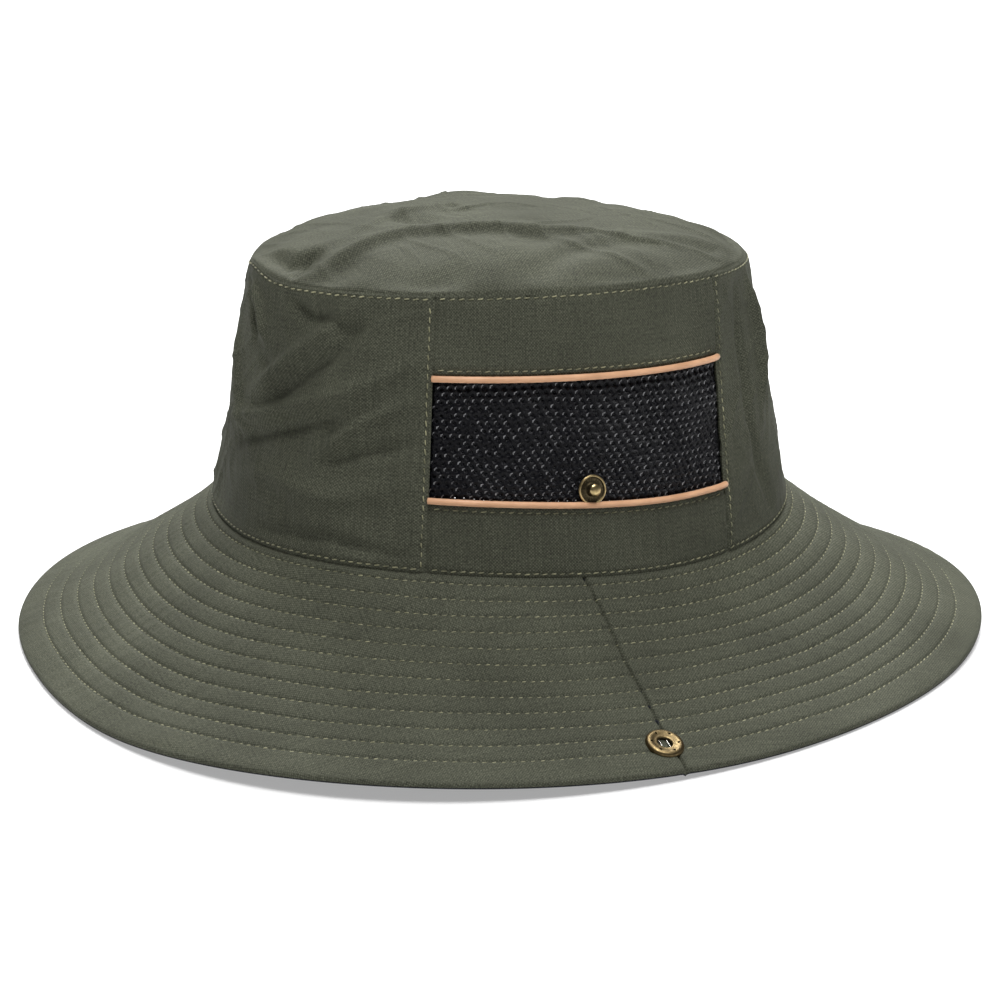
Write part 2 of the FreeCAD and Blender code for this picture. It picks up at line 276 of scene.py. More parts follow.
def sheet_object(
    name: str, points: np.ndarray, uv: np.ndarray, thickness: float, closed: bool = False, hub: bool = False
) -> bpy.types.Object:
    """A cloth of a given thickness from a grid of outer points.

    Args:
        name: The piece's name.
        points: Rows by columns by 3, whose grid normals point outwards.
        uv: Rows by columns by 2, in metres.
        thickness: The cloth's thickness, laid inwards.
        closed: Whether the last column is the first one again.
        hub: Whether the last row is one point.

    Returns:
        The closed, smooth-shaded piece.
    """
    rows, columns = points.shape[:2]
    normals = grid_normals(points, closed)
    if hub:
        normals[-1] = unit(normals[-2].mean(axis=0))
    inner = points - normals * thickness
    count = rows * columns
    faces = grid_faces(rows, columns)
    faces += [tuple(count + i for i in reversed(quad)) for quad in faces]
    shell = len(faces)
    ends = [list(range(columns))]
    if not hub:
        ends.append([(rows - 1) * columns + column for column in reversed(range(columns))])
    if not closed:
        ends.append([row * columns + columns - 1 for row in range(rows)])
        ends.append([row * columns for row in reversed(range(rows))])
    for ring in ends:
        faces += [(there, here, count + here, count + there) for here, there in zip(ring, ring[1:])]
    verts = np.concatenate([points.reshape(-1, 3), inner.reshape(-1, 3)])
    piece = new_object(name, verts, faces, np.concatenate([uv.reshape(-1, 2)] * 2))
    mesh = piece.data
    mesh.polygons.foreach_set("use_smooth", [True] * len(mesh.polygons))
    work = bmesh.new()
    work.from_mesh(mesh)
    work.faces.ensure_lookup_table()
    for face in work.faces[shell:]:
        for edge in face.edges:
            edge.smooth = False
    if closed or hub:
        bmesh.ops.remove_doubles(work, verts=work.verts, dist=1e-6)
    work.to_mesh(mesh)
    work.free()
    return piece


def tube(points: np.ndarray, radius: np.ndarray, sides: int, start: int) -> tuple[np.ndarray, list]:
    """A round tube along points, closed by a point at each end.

    Args:
        points: The line that it follows.
        radius: Its radius at each point.
        sides: How many sides it has.
        start: The number of its first point in the mesh it joins.

    Returns:
        Its points and its faces.
    """
    way = unit(np.gradient(points, axis=0))
    helper = np.array([0.0, 0.0, 1.0]) if abs(way[0][2]) < 0.9 else np.array([1.0, 0.0, 0.0])
    across = unit(np.cross(way, helper))
    up = np.cross(across, way)
    angles = np.arange(sides) * 2 * math.pi / sides
    rings = points[:, None] + radius[:, None, None] * (
        np.cos(angles)[None, :, None] * across[:, None] + np.sin(angles)[None, :, None] * up[:, None]
    )
    faces = grid_faces(len(points), sides, closed=True, start=start)
    last = start + len(points) * sides
    for side in range(sides):
        after = (side + 1) % sides
        faces.append((start + after, start + side, last))
        faces.append((last - sides + side, last - sides + after, last + 1))
    verts = np.concatenate([rings.reshape(-1, 3), points[:1], points[-1:]])
    return verts, faces


def tube_object(name: str, runs: list[tuple[np.ndarray, np.ndarray]], sides: int) -> bpy.types.Object:
    """One smooth-shaded mesh of several closed tubes.

    Args:
        name: The piece's name.
        runs: A line of points and its radii for each tube.
        sides: How many sides each tube has.

    Returns:
        The piece.
    """
    all_verts, all_faces, all_uv, start = [], [], [], 0
    for points, radius in runs:
        verts, faces = tube(points, radius, sides, start)
        run = np.concatenate([[0.0], np.cumsum(np.linalg.norm(np.diff(points, axis=0), axis=1))])
        angle = np.tile(np.arange(sides) / sides, len(points))
        uv = np.stack([np.repeat(run, sides), angle * 2 * math.pi * radius.max()], axis=1)
        all_uv.append(np.concatenate([uv, [[0.0, 0.0], [run[-1], 0.0]]]))
        all_verts.append(verts)
        all_faces += faces
        start += len(verts)
    piece = new_object(name, np.concatenate(all_verts), all_faces, np.concatenate(all_uv))
    piece.data.polygons.foreach_set("use_smooth", [True] * len(piece.data.polygons))
    return piece


# ---- the hat's shape ----


@dataclass(frozen=True)
class HatForm:
    """The hat's outlines as it sits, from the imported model's sizes and the lean of soft cloth.

    Angles run round the crown from the wearer's left (+X) towards the rear (+Y). Lengths are metres.
    """

    seam_width: float
    seam_length: float
    seam_height: float
    tip_width: float
    tip_length: float
    tip_seam_height: float
    tip_top: float
    reach: float
    edge_height: float = 3.0 * MM
    egg: tuple[float, float, float] = (0.0060, -0.0293, -0.0090)
    seam_sway: tuple[float, float, float] = (-2.3 * MM, -1.93 * MM, -2.27 * MM)
    tip_sway: tuple[float, float] = (-0.75 * MM, 1.06 * MM)
    reach_sway: tuple[float, float, float, float] = (-0.5 * MM, 1.53 * MM, -0.67 * MM, -3.1 * MM)
    edge_sway: tuple[float, float, float, float] = (0.15 * MM, 0.18 * MM, 0.57 * MM, -2.6 * MM)
    edge_rest: float = 2.0 * MM
    edge_soften: float = 0.8 * MM
    raised_at: float = -40.0
    raised_width: float = 26.0
    raised_height: float = 1.4 * MM
    brim_hollow: float = 4.46 * MM
    brim_width: float = 83.1 * MM
    tip_power: float = 2.2
    tip_slack: float = 0.9 * MM
    pinch_at: float = -89.0
    pinch_width: float = 11.0
    pinch_height: float = 3.4 * MM
    drawn_at: float = -108.0
    drawn_width: float = 20.0
    drawn_share: float = 0.035
    hem_start: float = 0.97
    ply: float = 2.2 * MM

    @classmethod
    def from_frame(cls) -> "HatForm":
        """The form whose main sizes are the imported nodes' own.

        Returns:
            The form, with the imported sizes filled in.
        """
        strip, tip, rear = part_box("left_lower_strip")[1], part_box("crown_tip"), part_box("rear_panel")[1]
        return cls(
            seam_width=strip.x, seam_length=rear.y, seam_height=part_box("brim_upper_rear")[1].z,
            tip_width=tip[1].x, tip_length=tip[1].y, tip_seam_height=rear.z, tip_top=tip[1].z,
            reach=CAD_BOX[1].x - strip.x,
        )

    def seam(self, t: np.ndarray) -> np.ndarray:
        """The crown's seam with the brim at angles t.

        Args:
            t: Angles, in radians.

        Returns:
            Points in metres, one for each angle.
        """
        c, s = np.cos(t), np.sin(t)
        swell = 1 + self.egg[0] * s + self.egg[1] * np.sin(3 * t) + self.egg[2] * np.cos(4 * t)
        sway = self.seam_sway
        z = self.seam_height + sway[0] * s + sway[1] * np.cos(2 * t) + sway[2] * np.sin(3 * t)
        return np.stack([self.seam_width * swell * c, self.seam_length * swell * s, z], axis=-1)

    def pinch(self, t: np.ndarray) -> np.ndarray:
        """How far a crease in front draws the tip's seam up at angles t."""
        away = np.degrees(np.arctan2(np.sin(t), np.cos(t))) - self.pinch_at
        return self.pinch_height * bell(away / self.pinch_width)

    def tip_seam(self, t: np.ndarray) -> np.ndarray:
        """The crown's seam with its tip at angles t.

        Args:
            t: Angles, in radians.

        Returns:
            Points in metres, one for each angle.
        """
        sway = self.tip_sway[0] * np.sin(t) + self.tip_sway[1] * np.cos(2 * t)
        z = self.tip_seam_height + sway + self.pinch(t)
        drawn = 1 - self.drawn_in(t)
        return np.stack([self.tip_width * drawn * np.cos(t), self.tip_length * drawn * np.sin(t), z], axis=-1)

    def drawn_in(self, t: np.ndarray) -> np.ndarray:
        """The share by which the tip's seam is drawn in beside the crease in front."""
        away = np.degrees(np.arctan2(np.sin(t), np.cos(t))) - self.drawn_at
        return self.drawn_share * bell(away / self.drawn_width)

    def wall(self, t: np.ndarray, u: np.ndarray) -> np.ndarray:
        """The crown's wall at angles t and heights u, which run from 0 at the brim to 1 at the tip."""
        low, high = self.seam(t), self.tip_seam(t)
        return low + (high - low) * u[..., None]

    def brim(self, t: np.ndarray, q: np.ndarray) -> np.ndarray:
        """The brim's top face at angles t and shares q, which run from 0 at the crown to 1 at the edge.

        Args:
            t: Angles, in radians.
            q: Shares of the reach.

        Returns:
            Points in metres.
        """
        c, s = np.cos(t), np.sin(t)
        both = 2 * s * np.abs(c)
        low = self.seam(t)
        far = self.reach + (self.reach_sway[0] * s + self.reach_sway[1] * np.cos(2 * t)
                            + self.reach_sway[2] * both + self.reach_sway[3] * np.sin(3 * t))
        edge = self.edge_height + (self.edge_sway[0] * c * c + self.edge_sway[1] * s
                                   + self.edge_sway[2] * both + self.edge_sway[3] * np.sin(3 * t))
        away = np.degrees(np.arctan2(s, c)) - self.raised_at
        spare = edge + self.raised_height * bell(away / self.raised_width) - self.edge_rest
        edge = self.edge_rest + (spare + np.hypot(spare, self.edge_soften)) / 2
        z = low[..., 2] * (1 - q) + edge * q - 4 * self.brim_hollow * q * (1 - q)
        return np.stack([low[..., 0] + far * q * c, low[..., 1] + far * q * s, z], axis=-1)

    def tip(self, x: np.ndarray, y: np.ndarray) -> np.ndarray:
        """The crown's tip above the plan points x and y, both in metres.

        Args:
            x: Plan points across the hat.
            y: Plan points along the hat.

        Returns:
            Points in metres.
        """
        share = np.clip(np.hypot(x / self.tip_width, y / self.tip_length), 0, 1)
        angle = np.arctan2(y / self.tip_length, x / self.tip_width)
        rim = self.tip_seam(angle)[..., 2] - self.tip_seam_height - self.pinch(angle)
        rise = (self.tip_top - self.tip_slack - self.tip_seam_height) * (1 - share ** self.tip_power)
        inward = 1 - self.drawn_in(angle) * share ** 3
        z = self.tip_seam_height + rise + rim * share + self.pinch(angle) * share ** 8
        return np.stack([x * inward, y * inward, z], axis=-1)


@dataclass(frozen=True)
class Seams:
    """Where the crown's seams, window edges and stitch rows run, as angles and as shares of the wall."""

    front: float = math.radians(-30.5)
    rear_low: float = math.radians(33.9)
    rear_high: float = math.radians(38.7)
    upper_edge: float = 0.700
    lower_edge: float = 0.265
    lower_edge_dip: float = 0.018
    row_count: int = 12
    side_shares: tuple[float, ...] = (0.007, 0.10, 0.225, 0.38, 0.54, 1.0)
    side_angles: tuple[float, ...] = (-1.4, -0.7, -0.3, 0.0, 0.6, 0.6)

    def rear(self, u: np.ndarray) -> np.ndarray:
        """The angle of the window panel's rear seam at height u."""
        return self.rear_low + (self.rear_high - self.rear_low) * np.asarray(u)

    def lower(self, t: np.ndarray) -> np.ndarray:
        """The height of the window's lower edge at angle t, which dips towards the rear.

        Args:
            t: Angles, in radians.

        Returns:
            Heights as shares of the wall.
        """
        near = np.where(np.cos(t) > 0, t, math.pi - t)
        share = np.clip((near - self.front) / (self.rear_low - self.front), 0, 1)
        return self.lower_edge - self.lower_edge_dip * smooth_step(share)

    def brim_rows(self) -> np.ndarray:
        """The brim's stitch rows as shares of its reach, set a little wider towards its edge."""
        i = np.arange(self.row_count)
        return 0.027 + 0.06245 * i + 0.00115 * i * i

    def brim_side(self, q: np.ndarray) -> np.ndarray:
        """The angle of the brim's side seam, which wanders slightly as it goes out."""
        return np.radians(np.interp(q, self.side_shares, self.side_angles))


def creases(a: np.ndarray, b: np.ndarray, length: float, turn: float, seed: int) -> np.ndarray:
    """Fine crisp creases in patches, three times as long as they are apart.

    Args:
        a: First coordinate, in millimetres.
        b: Second coordinate, in millimetres.
        length: The usual distance between creases, in millimetres.
        turn: The way they run, in degrees from the first coordinate.
        seed: Picks one pattern.

    Returns:
        Values of about -0.4 to 0.6.
    """
    c, s = math.cos(math.radians(turn)), math.sin(math.radians(turn))
    lines = waves((a * c + b * s) / 3, b * c - a * s, 2 * length, seed)
    patches = smooth_step(0.55 + 0.6 * waves(a, b, 6 * length, seed + 1))
    return (bell(lines / 0.26) - 0.4) * patches


@dataclass(frozen=True)
class Drape:
    """The folds that handling has left in the crown's soft cloth."""

    wall_scale: tuple[float, float] = (1.66, WALL)
    wall_folds: tuple[Fold, ...] = (
        Fold(((-97, 0.80), (-90, 0.55), (-80, 0.35)), 2.3, 4.1),
        Fold(((-70, 0.98), (-62, 0.90), (-45, 0.86)), -2.6, 2.8),
        Fold(((-85, 0.22), (-70, 0.28), (-52, 0.24), (-36, 0.30)), 1.9, 3.7),
        Fold(((-94, 0.93), (-86, 0.86), (-81, 0.75)), -3.6, 2.0),
        Fold(((-88, 0.95), (-80, 0.86), (-75, 0.74)), 2.5, 2.7),
        Fold(((-81, 0.53), (-57, 0.83), (-48, 0.97)), 3.0, 3.1),
        Fold(((-76, 0.50), (-52, 0.78), (-43, 0.95)), -2.2, 2.8),
        Fold(((-93, 0.39), (-64, 0.55), (-47, 0.64), (-33, 0.77)), 3.0, 2.9),
        Fold(((-90, 0.33), (-62, 0.48), (-44, 0.56)), -1.9, 2.9),
        Fold(((-55, 0.39), (-45, 0.53), (-35, 0.61)), 2.2, 2.3),
        Fold(((-54, 0.36), (-44, 0.42), (-33, 0.46)), -2.5, 2.5),
        Fold(((-60, 0.75), (-50, 0.81)), 1.6, 2.7),
        Fold(((-75, 0.06), (-50, 0.09), (-35, 0.05)), -1.9, 2.3),
        Fold(((59, 0.96), (60, 0.72), (55, 0.40)), 3.2, 3.0),
        Fold(((49, 0.92), (48, 0.43), (52, 0.08)), -2.6, 3.0),
    )
    tip_folds: tuple[Fold, ...] = (
        Fold(((26, -83), (30, -73), (25, -50), (24, -39), (33, -19), (40, 2), (40, 28)), 3.0, 3.2),
        Fold(((16, -68), (12, -54), (-4, -35), (-3, -15), (8, 3)), 1.7, 2.8),
        Fold(((-3, -41), (17, -26)), -2.0, 4.0),
        Fold(((15, -69), (28, -84)), -2.3, 1.4, Profile.SHARP),
        Fold(((1, -82), (17, -79), (19, -70), (29, -79)), -2.0, 2.9),
        Fold(((63, -10), (54, 5), (48, 20), (40, 42)), -2.3, 4.9),
        Fold(((53, -3), (39, 42), (36, 66), (48, 64)), 1.6, 4.0),
        Fold(((-8, 73), (9, 81), (26, 79)), -1.9, 2.8),
        Fold(((-52, -30), (-40, -5), (-44, 30)), 0.9, 4.0),
        Fold(((-30, 48), (-12, 30), (10, 34)), 1.6, 4.0),
    )

    def wall(self, t: np.ndarray, u: np.ndarray) -> np.ndarray:
        """How far the wall's cloth stands out at angle t and height u.

        Args:
            t: Angles, in radians.
            u: Heights as shares of the wall.

        Returns:
            Distances in metres.
        """
        a = np.degrees(t) * self.wall_scale[0]
        b = u * self.wall_scale[1]
        total = np.zeros(a.shape)
        for fold in self.wall_folds:
            line = tuple((x * self.wall_scale[0], y * self.wall_scale[1]) for x, y in fold.line)
            total += Fold(line, fold.height, fold.width, fold.profile).over(a, b)
        x, y = WALL * np.cos(t), DEPTH * np.sin(t)
        far = smooth_step((20 - x) / 60)
        total += (0.35 + 0.75 * far) * waves(x + 0.6 * b, y - 0.5 * b, 46, 11)
        total += 0.20 * waves(x + b, y, 19, 12)
        total += 0.55 * creases(a, b, 11, 38, 13) + 0.35 * creases(a, b, 8, 125, 15)
        window = smooth_step((np.abs(np.cos(t)) - 0.78) / 0.1)
        fade = smooth_step(u / 0.08) * smooth_step((1 - u) / 0.08)
        return MM * total * fade * (1 - 0.55 * window)

    def tip(self, x: np.ndarray, y: np.ndarray, share: np.ndarray) -> np.ndarray:
        """How far the tip's cloth stands up at the plan point x, y, in metres.

        Args:
            x: Plan points across the hat.
            y: Plan points along the hat.
            share: How near the tip seam each point is, from 0 to 1.

        Returns:
            Heights in metres.
        """
        a, b = x / MM, y / MM
        total = sum(fold.over(a, b) for fold in self.tip_folds)
        total = total + 0.55 * waves(a, b, 48, 21) + 0.22 * waves(a, b, 20, 22)
        total = total + 0.75 * creases(a, b, 12, 75, 23) + 0.5 * creases(a, b, 9, 20, 25)
        return MM * total * smooth_step((1 - share) / 0.06)


# ---- sewing ----


def edge_roll(away: np.ndarray, depth: float = 1.0, width: float = 0.8) -> np.ndarray:
    """How far a cloth turns down beside a seam.

    Args:
        away: The distance from the seam, in millimetres.
        depth: How far it goes down at the seam, in millimetres.
        width: How near the seam that is, in millimetres.

    Returns:
        The height, in metres.
    """
    return -depth * MM * bell(away / width)


def stitch_sink(away: np.ndarray, run: np.ndarray, pitch: float, depth: float = 0.24) -> np.ndarray:
    """How a row of stitches draws a cloth in, deepest at the needle holes.

    Args:
        away: The distance from the row, in millimetres.
        run: The distance along the row, in millimetres.
        pitch: The length of one stitch and one gap, in millimetres.
        depth: How deep the row lies, in millimetres.

    Returns:
        The height, in metres.
    """
    row = -depth * bell(away / 0.55)
    holes = -0.30 * depth * bell(away / 0.9) * np.cos(2 * math.pi * run / pitch)
    swell = 0.45 * depth * bell((np.abs(away) - 1.7) / 1.0)
    return MM * (row + holes + swell)


def follow(cuts: np.ndarray, run: np.ndarray, values: np.ndarray) -> np.ndarray:
    """Vectors given along a line, read at the distances in cuts."""
    return np.stack([np.interp(cuts, run, values[:, k]) for k in range(3)], axis=1)


@dataclass(frozen=True)
class SewnRow:
    """A row of stitches along a line on a cloth, in metres."""

    points: np.ndarray
    normals: np.ndarray
    pitch: float

    def cuts(self) -> np.ndarray:
        """The middle of each stitch, as a distance along the row."""
        return (np.arange(int(self.length() / self.pitch)) + 0.5) * self.pitch

    def length(self) -> float:
        """The row's length."""
        return float(np.linalg.norm(np.diff(self.points, axis=0), axis=1).sum())


@dataclass(frozen=True)
class Thread:
    """The sewing thread, as one short rounded bead of it for each stitch."""

    share: float = 0.66
    radius: float = 0.22 * MM
    slant: float = math.radians(9)
    sides: int = 6

    def bead(self) -> tuple[np.ndarray, list]:
        """One stitch of unit length, with its ends turned down into the cloth.

        Returns:
            Its points and its faces.
        """
        along = np.array([-0.5, -0.42, -0.2, 0.2, 0.42, 0.5])
        fat = np.array([0.35, 0.85, 1.0, 1.0, 0.85, 0.35])
        sunk = np.array([-1.5, -0.55, 0.25, 0.25, -0.55, -1.5])
        angles = np.arange(self.sides) * 2 * math.pi / self.sides
        across = fat[:, None] * np.cos(angles)
        height = fat[:, None] * np.sin(angles) * 0.8 + sunk[:, None]
        verts = np.stack([np.repeat(along[:, None], self.sides, 1), across, height], axis=-1).reshape(-1, 3)
        faces = grid_faces(len(along), self.sides, closed=True)
        faces.append(tuple(reversed(range(self.sides))))
        faces.append(tuple(range(len(verts) - self.sides, len(verts))))
        return verts, faces

    def sew(self, name: str, rows: list[SewnRow], seed: int) -> bpy.types.Object:
        """Every stitch of several rows as one piece.

        Args:
            name: The piece's name.
            rows: The rows to sew.
            seed: Picks the small unevenness from stitch to stitch.

        Returns:
            The piece.
        """
        random = np.random.default_rng(seed)
        bead, bead_faces = self.bead()
        verts, faces = [], []
        for row in rows:
            run = np.concatenate([[0.0], np.cumsum(np.linalg.norm(np.diff(row.points, axis=0), axis=1))])
            cuts = row.cuts()
            if not len(cuts):
                continue
            place = follow(cuts, run, row.points)
            up = unit(follow(cuts, run, row.normals))
            ahead = follow(cuts + 0.3 * row.pitch, run, row.points)
            behind = follow(cuts - 0.3 * row.pitch, run, row.points)
            way = unit(ahead - behind)
            aside = unit(np.cross(up, way))
            turn = self.slant + random.normal(0, 0.05, len(cuts))
            way, aside = (way * np.cos(turn)[:, None] + aside * np.sin(turn)[:, None],
                          aside * np.cos(turn)[:, None] - way * np.sin(turn)[:, None])
            length = row.pitch * self.share * random.uniform(0.92, 1.06, len(cuts))
            fat = self.radius * random.uniform(0.9, 1.1, len(cuts))
            place = place + aside * (random.normal(0, 0.05 * MM, len(cuts)))[:, None]
            points = (place[:, None] + way[:, None] * (bead[None, :, 0:1] * length[:, None, None])
                      + aside[:, None] * (bead[None, :, 1:2] * fat[:, None, None])
                      + up[:, None] * (bead[None, :, 2:3] * fat[:, None, None]))
            start = sum(len(v) for v in verts)
            verts.append(points.reshape(-1, 3))
            for k in range(len(cuts)):
                base = start + k * len(bead)
                faces += [tuple(base + i for i in face) for face in bead_faces]
        piece = new_object(name, np.concatenate(verts), faces, np.concatenate(verts)[:, :2])
        piece.data.polygons.foreach_set("use_smooth", [True] * len(piece.data.polygons))
        return piece


# ---- the crown ----


@dataclass
class Crown:
    """The crown: front and rear panels, two window panels, the puffed tip and what is sewn along them."""

    form: HatForm
    seams: Seams
    drape: Drape
    thread: Thread
    stitch: float = 3.0 * MM
    cloth: float = 0.8 * MM
    row_inset: float = 1.6
    shoulder: float = 1.9 * MM
    near_share: float = 1.3
    near_side: float = math.radians(21)
    tuck: float = 1.2 * MM
    spread: float = 92.0
    strip_drop: float = 0.35 * MM
    thread_sink: float = 0.12 * MM
    fine: tuple[float, float, float] = (0.85, 0.32, 3.2)
    piping_radius: float = 1.06 * MM

    def wall_points(self, t: np.ndarray, u: np.ndarray, lift: np.ndarray | float) -> np.ndarray:
        """Points on the draped wall, lifted off it.

        Args:
            t: Angles, rows by columns.
            u: Heights, rows by columns.
            lift: How far to lift each point outwards, in metres.

        Returns:
            Rows by columns by 3.
        """
        base = self.form.wall(t, u)
        total = np.broadcast_to(self.drape.wall(t, np.clip(u, 0, 1)) + lift, t.shape)
        return base + grid_normals(base) * total[..., None]

    def wall_line(self, t: np.ndarray, u: np.ndarray, lift: float) -> tuple[np.ndarray, np.ndarray]:
        """A line of points on the wall and their outward normals.

        Args:
            t: Angles, in radians.
            u: Heights as shares of the wall.
            lift: How far the line lies off the cloth, in metres.

        Returns:
            The points and their normals.
        """
        way = np.stack([np.gradient(t) * WALL, np.gradient(u) * WALL], axis=-1)
        way = way / np.linalg.norm(way, axis=-1, keepdims=True)
        offsets = np.array([-0.3, 0.0, 0.3])[:, None]
        points = self.wall_points(t - offsets * way[:, 1] / WALL, u + offsets * way[:, 0] / WALL, lift)
        return points[1], grid_normals(points)[1]

    def ground(self, t: np.ndarray) -> np.ndarray:
        """Millimetres of wall for each radian at angles t.

        Args:
            t: Angles, in radians.

        Returns:
            The lengths, one for each angle.
        """
        near = self.form.wall(t, np.full(t.shape, 0.5))
        far = self.form.wall(t + 0.01, np.full(t.shape, 0.5))
        return np.linalg.norm(far - near, axis=-1) / 0.01 / MM

    def wall_cloth(
        self, name: str, left: tuple, right: tuple, low: tuple, high: tuple, sewn: dict,
        drop: float = 0.0, tucked: bool = False,
    ) -> bpy.types.Object:
        """A cloth of the crown's wall between two upright seams.

        Args:
            name: The piece's name.
            left: The angle of its first seam at the bottom and the top of the wall.
            right: The angle of its second seam at the bottom and the top.
            low: Its lower edge's height at the first and second seam.
            high: Its upper edge's height at the first and second seam.
            sewn: How the "left", "right", "low" and "high" edges roll down, and their row's inset, in mm.
            drop: How far it lies below the wall's face, in metres.
            tucked: Whether its upright edges run on under its neighbours.

        Returns:
            The piece.
        """
        spread = float(self.ground(np.array([(left[0] + right[0]) / 2]))[0])
        width, tall = (right[0] - left[0]) * spread, self.drape.wall_scale[1]
        heights = low[0] + (high[0] - low[0]) * steps(tall * (high[0] - low[0]), *self.fine)
        places = steps(width, *self.fine)
        share, level = np.meshgrid(places, (heights - low[0]) / (high[0] - low[0]))
        bottom = low[0] + (low[1] - low[0]) * smooth_step(share)
        u = bottom + (high[0] - bottom) * level
        first = left[0] + (left[1] - left[0]) * u
        last = right[0] + (right[1] - right[0]) * u
        t = first + (last - first) * share
        away = {
            "left": (t - first) * spread, "right": (last - t) * spread,
            "low": (u - bottom) * tall, "high": (high[0] - u) * tall,
        }
        run = {"left": u * tall, "right": u * tall, "low": t * spread, "high": t * spread}
        lift = np.full(t.shape, -drop)
        for edge, rows in sewn.items():
            lift += edge_roll(away[edge], *rows.get("roll", (0.9, 0.8)))
            if "row" in rows:
                lift += stitch_sink(away[edge] - rows["row"], run[edge], self.stitch / MM)
        lift += 0.05 * MM * waves(t * WALL, u * WALL, 7, 31 + len(name))
        if tucked:
            t = t + (share - 0.5) * 2 * bell(np.minimum(away["left"], away["right"]) / 0.4) * self.tuck / 0.09
        points = self.wall_points(t, u, lift)
        uv = np.stack([(t - left[0]) * spread, u * tall], axis=-1) * MM
        piece = sheet_object(name, points, uv, self.cloth)
        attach(piece, "hat")
        return piece

    def panels(self) -> dict[str, bpy.types.Object]:
        """The front and rear panels and the four strips of the window panels.

        Returns:
            The pieces by their names.
        """
        front, low, high = self.seams.front, self.seams.rear_low, self.seams.rear_high
        half = math.pi
        gap = 1.0 / self.drape.wall_scale[1]
        lower, dip, upper = self.seams.lower_edge, self.seams.lower_edge_dip, self.seams.upper_edge
        inset = self.row_inset
        shoulder = {"roll": (0.9, 0.8), "row": inset}
        all_round = dict.fromkeys(("left", "right", "low", "high"), shoulder)
        made = {
            "front_panel": self.wall_cloth(
                "front_panel", (-half - front, -half - front), (front, front), (0, 0), (1, 1), all_round),
            "rear_panel": self.wall_cloth(
                "rear_panel", (low, high), (half - low, half - high), (0, 0), (1, 1), all_round),
        }
        for side in Side:
            left, right = (front, front), (low, high)
            ends = (lower - gap, lower - dip - gap)
            if side is Side.RIGHT:
                left, right = (half - low, half - high), (half - front, half - front)
                ends = (ends[1], ends[0])
            tucks = {"left": {"roll": (0.7, 0.7)}, "right": {"roll": (0.7, 0.7)}}
            lower_name, upper_name = f"{side.word}_lower_strip", f"{side.word}_upper_strip"
            made[upper_name] = self.wall_cloth(
                upper_name, left, right, (upper + gap, upper + gap), (1, 1),
                {**tucks, "low": {"roll": (0.5, 0.6), "row": inset}, "high": shoulder}, self.strip_drop, True)
            made[lower_name] = self.lower_strip(lower_name, left, right, ends, tucks)
        for name, piece in made.items():
            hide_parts(name)
        return made

    def lower_strip(self, name: str, left: tuple, right: tuple, ends: tuple, tucks: dict) -> bpy.types.Object:
        """The strip below a window, whose upper edge dips towards the rear.

        Args:
            name: The piece's name.
            left: The angle of its first seam at the bottom and the top of the wall.
            right: The angle of its second seam.
            ends: The height of its upper edge at each seam.
            tucks: How its upright edges turn down.

        Returns:
            The piece.
        """
        inset = self.row_inset
        spread = float(self.ground(np.array([(left[0] + right[0]) / 2]))[0])
        width, tall = (right[0] - left[0]) * spread, self.drape.wall_scale[1]
        share, level = np.meshgrid(steps(width, *self.fine), steps(tall * min(ends), *self.fine))
        u = level * (ends[0] + (ends[1] - ends[0]) * smooth_step(share))
        top = u / np.maximum(level, 1e-6)
        first = left[0] + (left[1] - left[0]) * u
        last = right[0] + (right[1] - right[0]) * u
        t = first + (last - first) * share
        near = np.minimum((t - first) * spread, (last - t) * spread)
        lift = edge_roll(near, *tucks["left"]["roll"]) + edge_roll(u * tall, 0.9, 0.8) - self.strip_drop
        above = (np.where(level > 0, top, 1) - u) * tall
        lift += edge_roll(above, 0.5, 0.6) + stitch_sink(above - inset, t * spread, self.stitch / MM)
        lift += stitch_sink(u * tall - inset, t * spread, self.stitch / MM)
        lift += 0.05 * MM * waves(t * WALL, u * WALL, 7, 31)
        t = t + (share - 0.5) * 2 * bell(near / 0.4) * self.tuck / 0.09
        uv = np.stack([(t - left[0]) * spread, u * tall], axis=-1) * MM
        piece = sheet_object(name, self.wall_points(t, u, lift), uv, self.cloth)
        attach(piece, "hat")
        return piece

    def tip(self) -> bpy.types.Object:
        """The puffed oval on top of the crown.

        Returns:
            The piece.
        """
        form = self.form
        shares = 1 - np.concatenate([np.linspace(0, 0.03, 6), np.linspace(0.03, 1, 84)[1:]])
        turn = np.linspace(0, 2 * math.pi, 401)
        angle, share = np.meshgrid(turn, shares)
        x, y = form.tip_width * share * np.cos(angle), form.tip_length * share * np.sin(angle)
        base = form.tip(x, y)
        away = (1 - share) * 80
        shoulder = self.shoulder * (1.0 + self.near_share * np.cos(angle + self.near_side))
        lift = self.drape.tip(x, y, share) + edge_roll(away, 1.0, 0.9) - shoulder * bell(away / 13)
        lift += shoulder * (1 - smooth_step((1 - share) / 0.9))
        normals = grid_normals(base, closed=True)
        normals[-1] = (0, 0, 1)
        piece = sheet_object(
            "crown_tip", base + normals * lift[..., None], np.stack([x, y], axis=-1), self.cloth, True, True)
        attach(piece, "hat")
        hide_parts("crown_tip")
        return piece

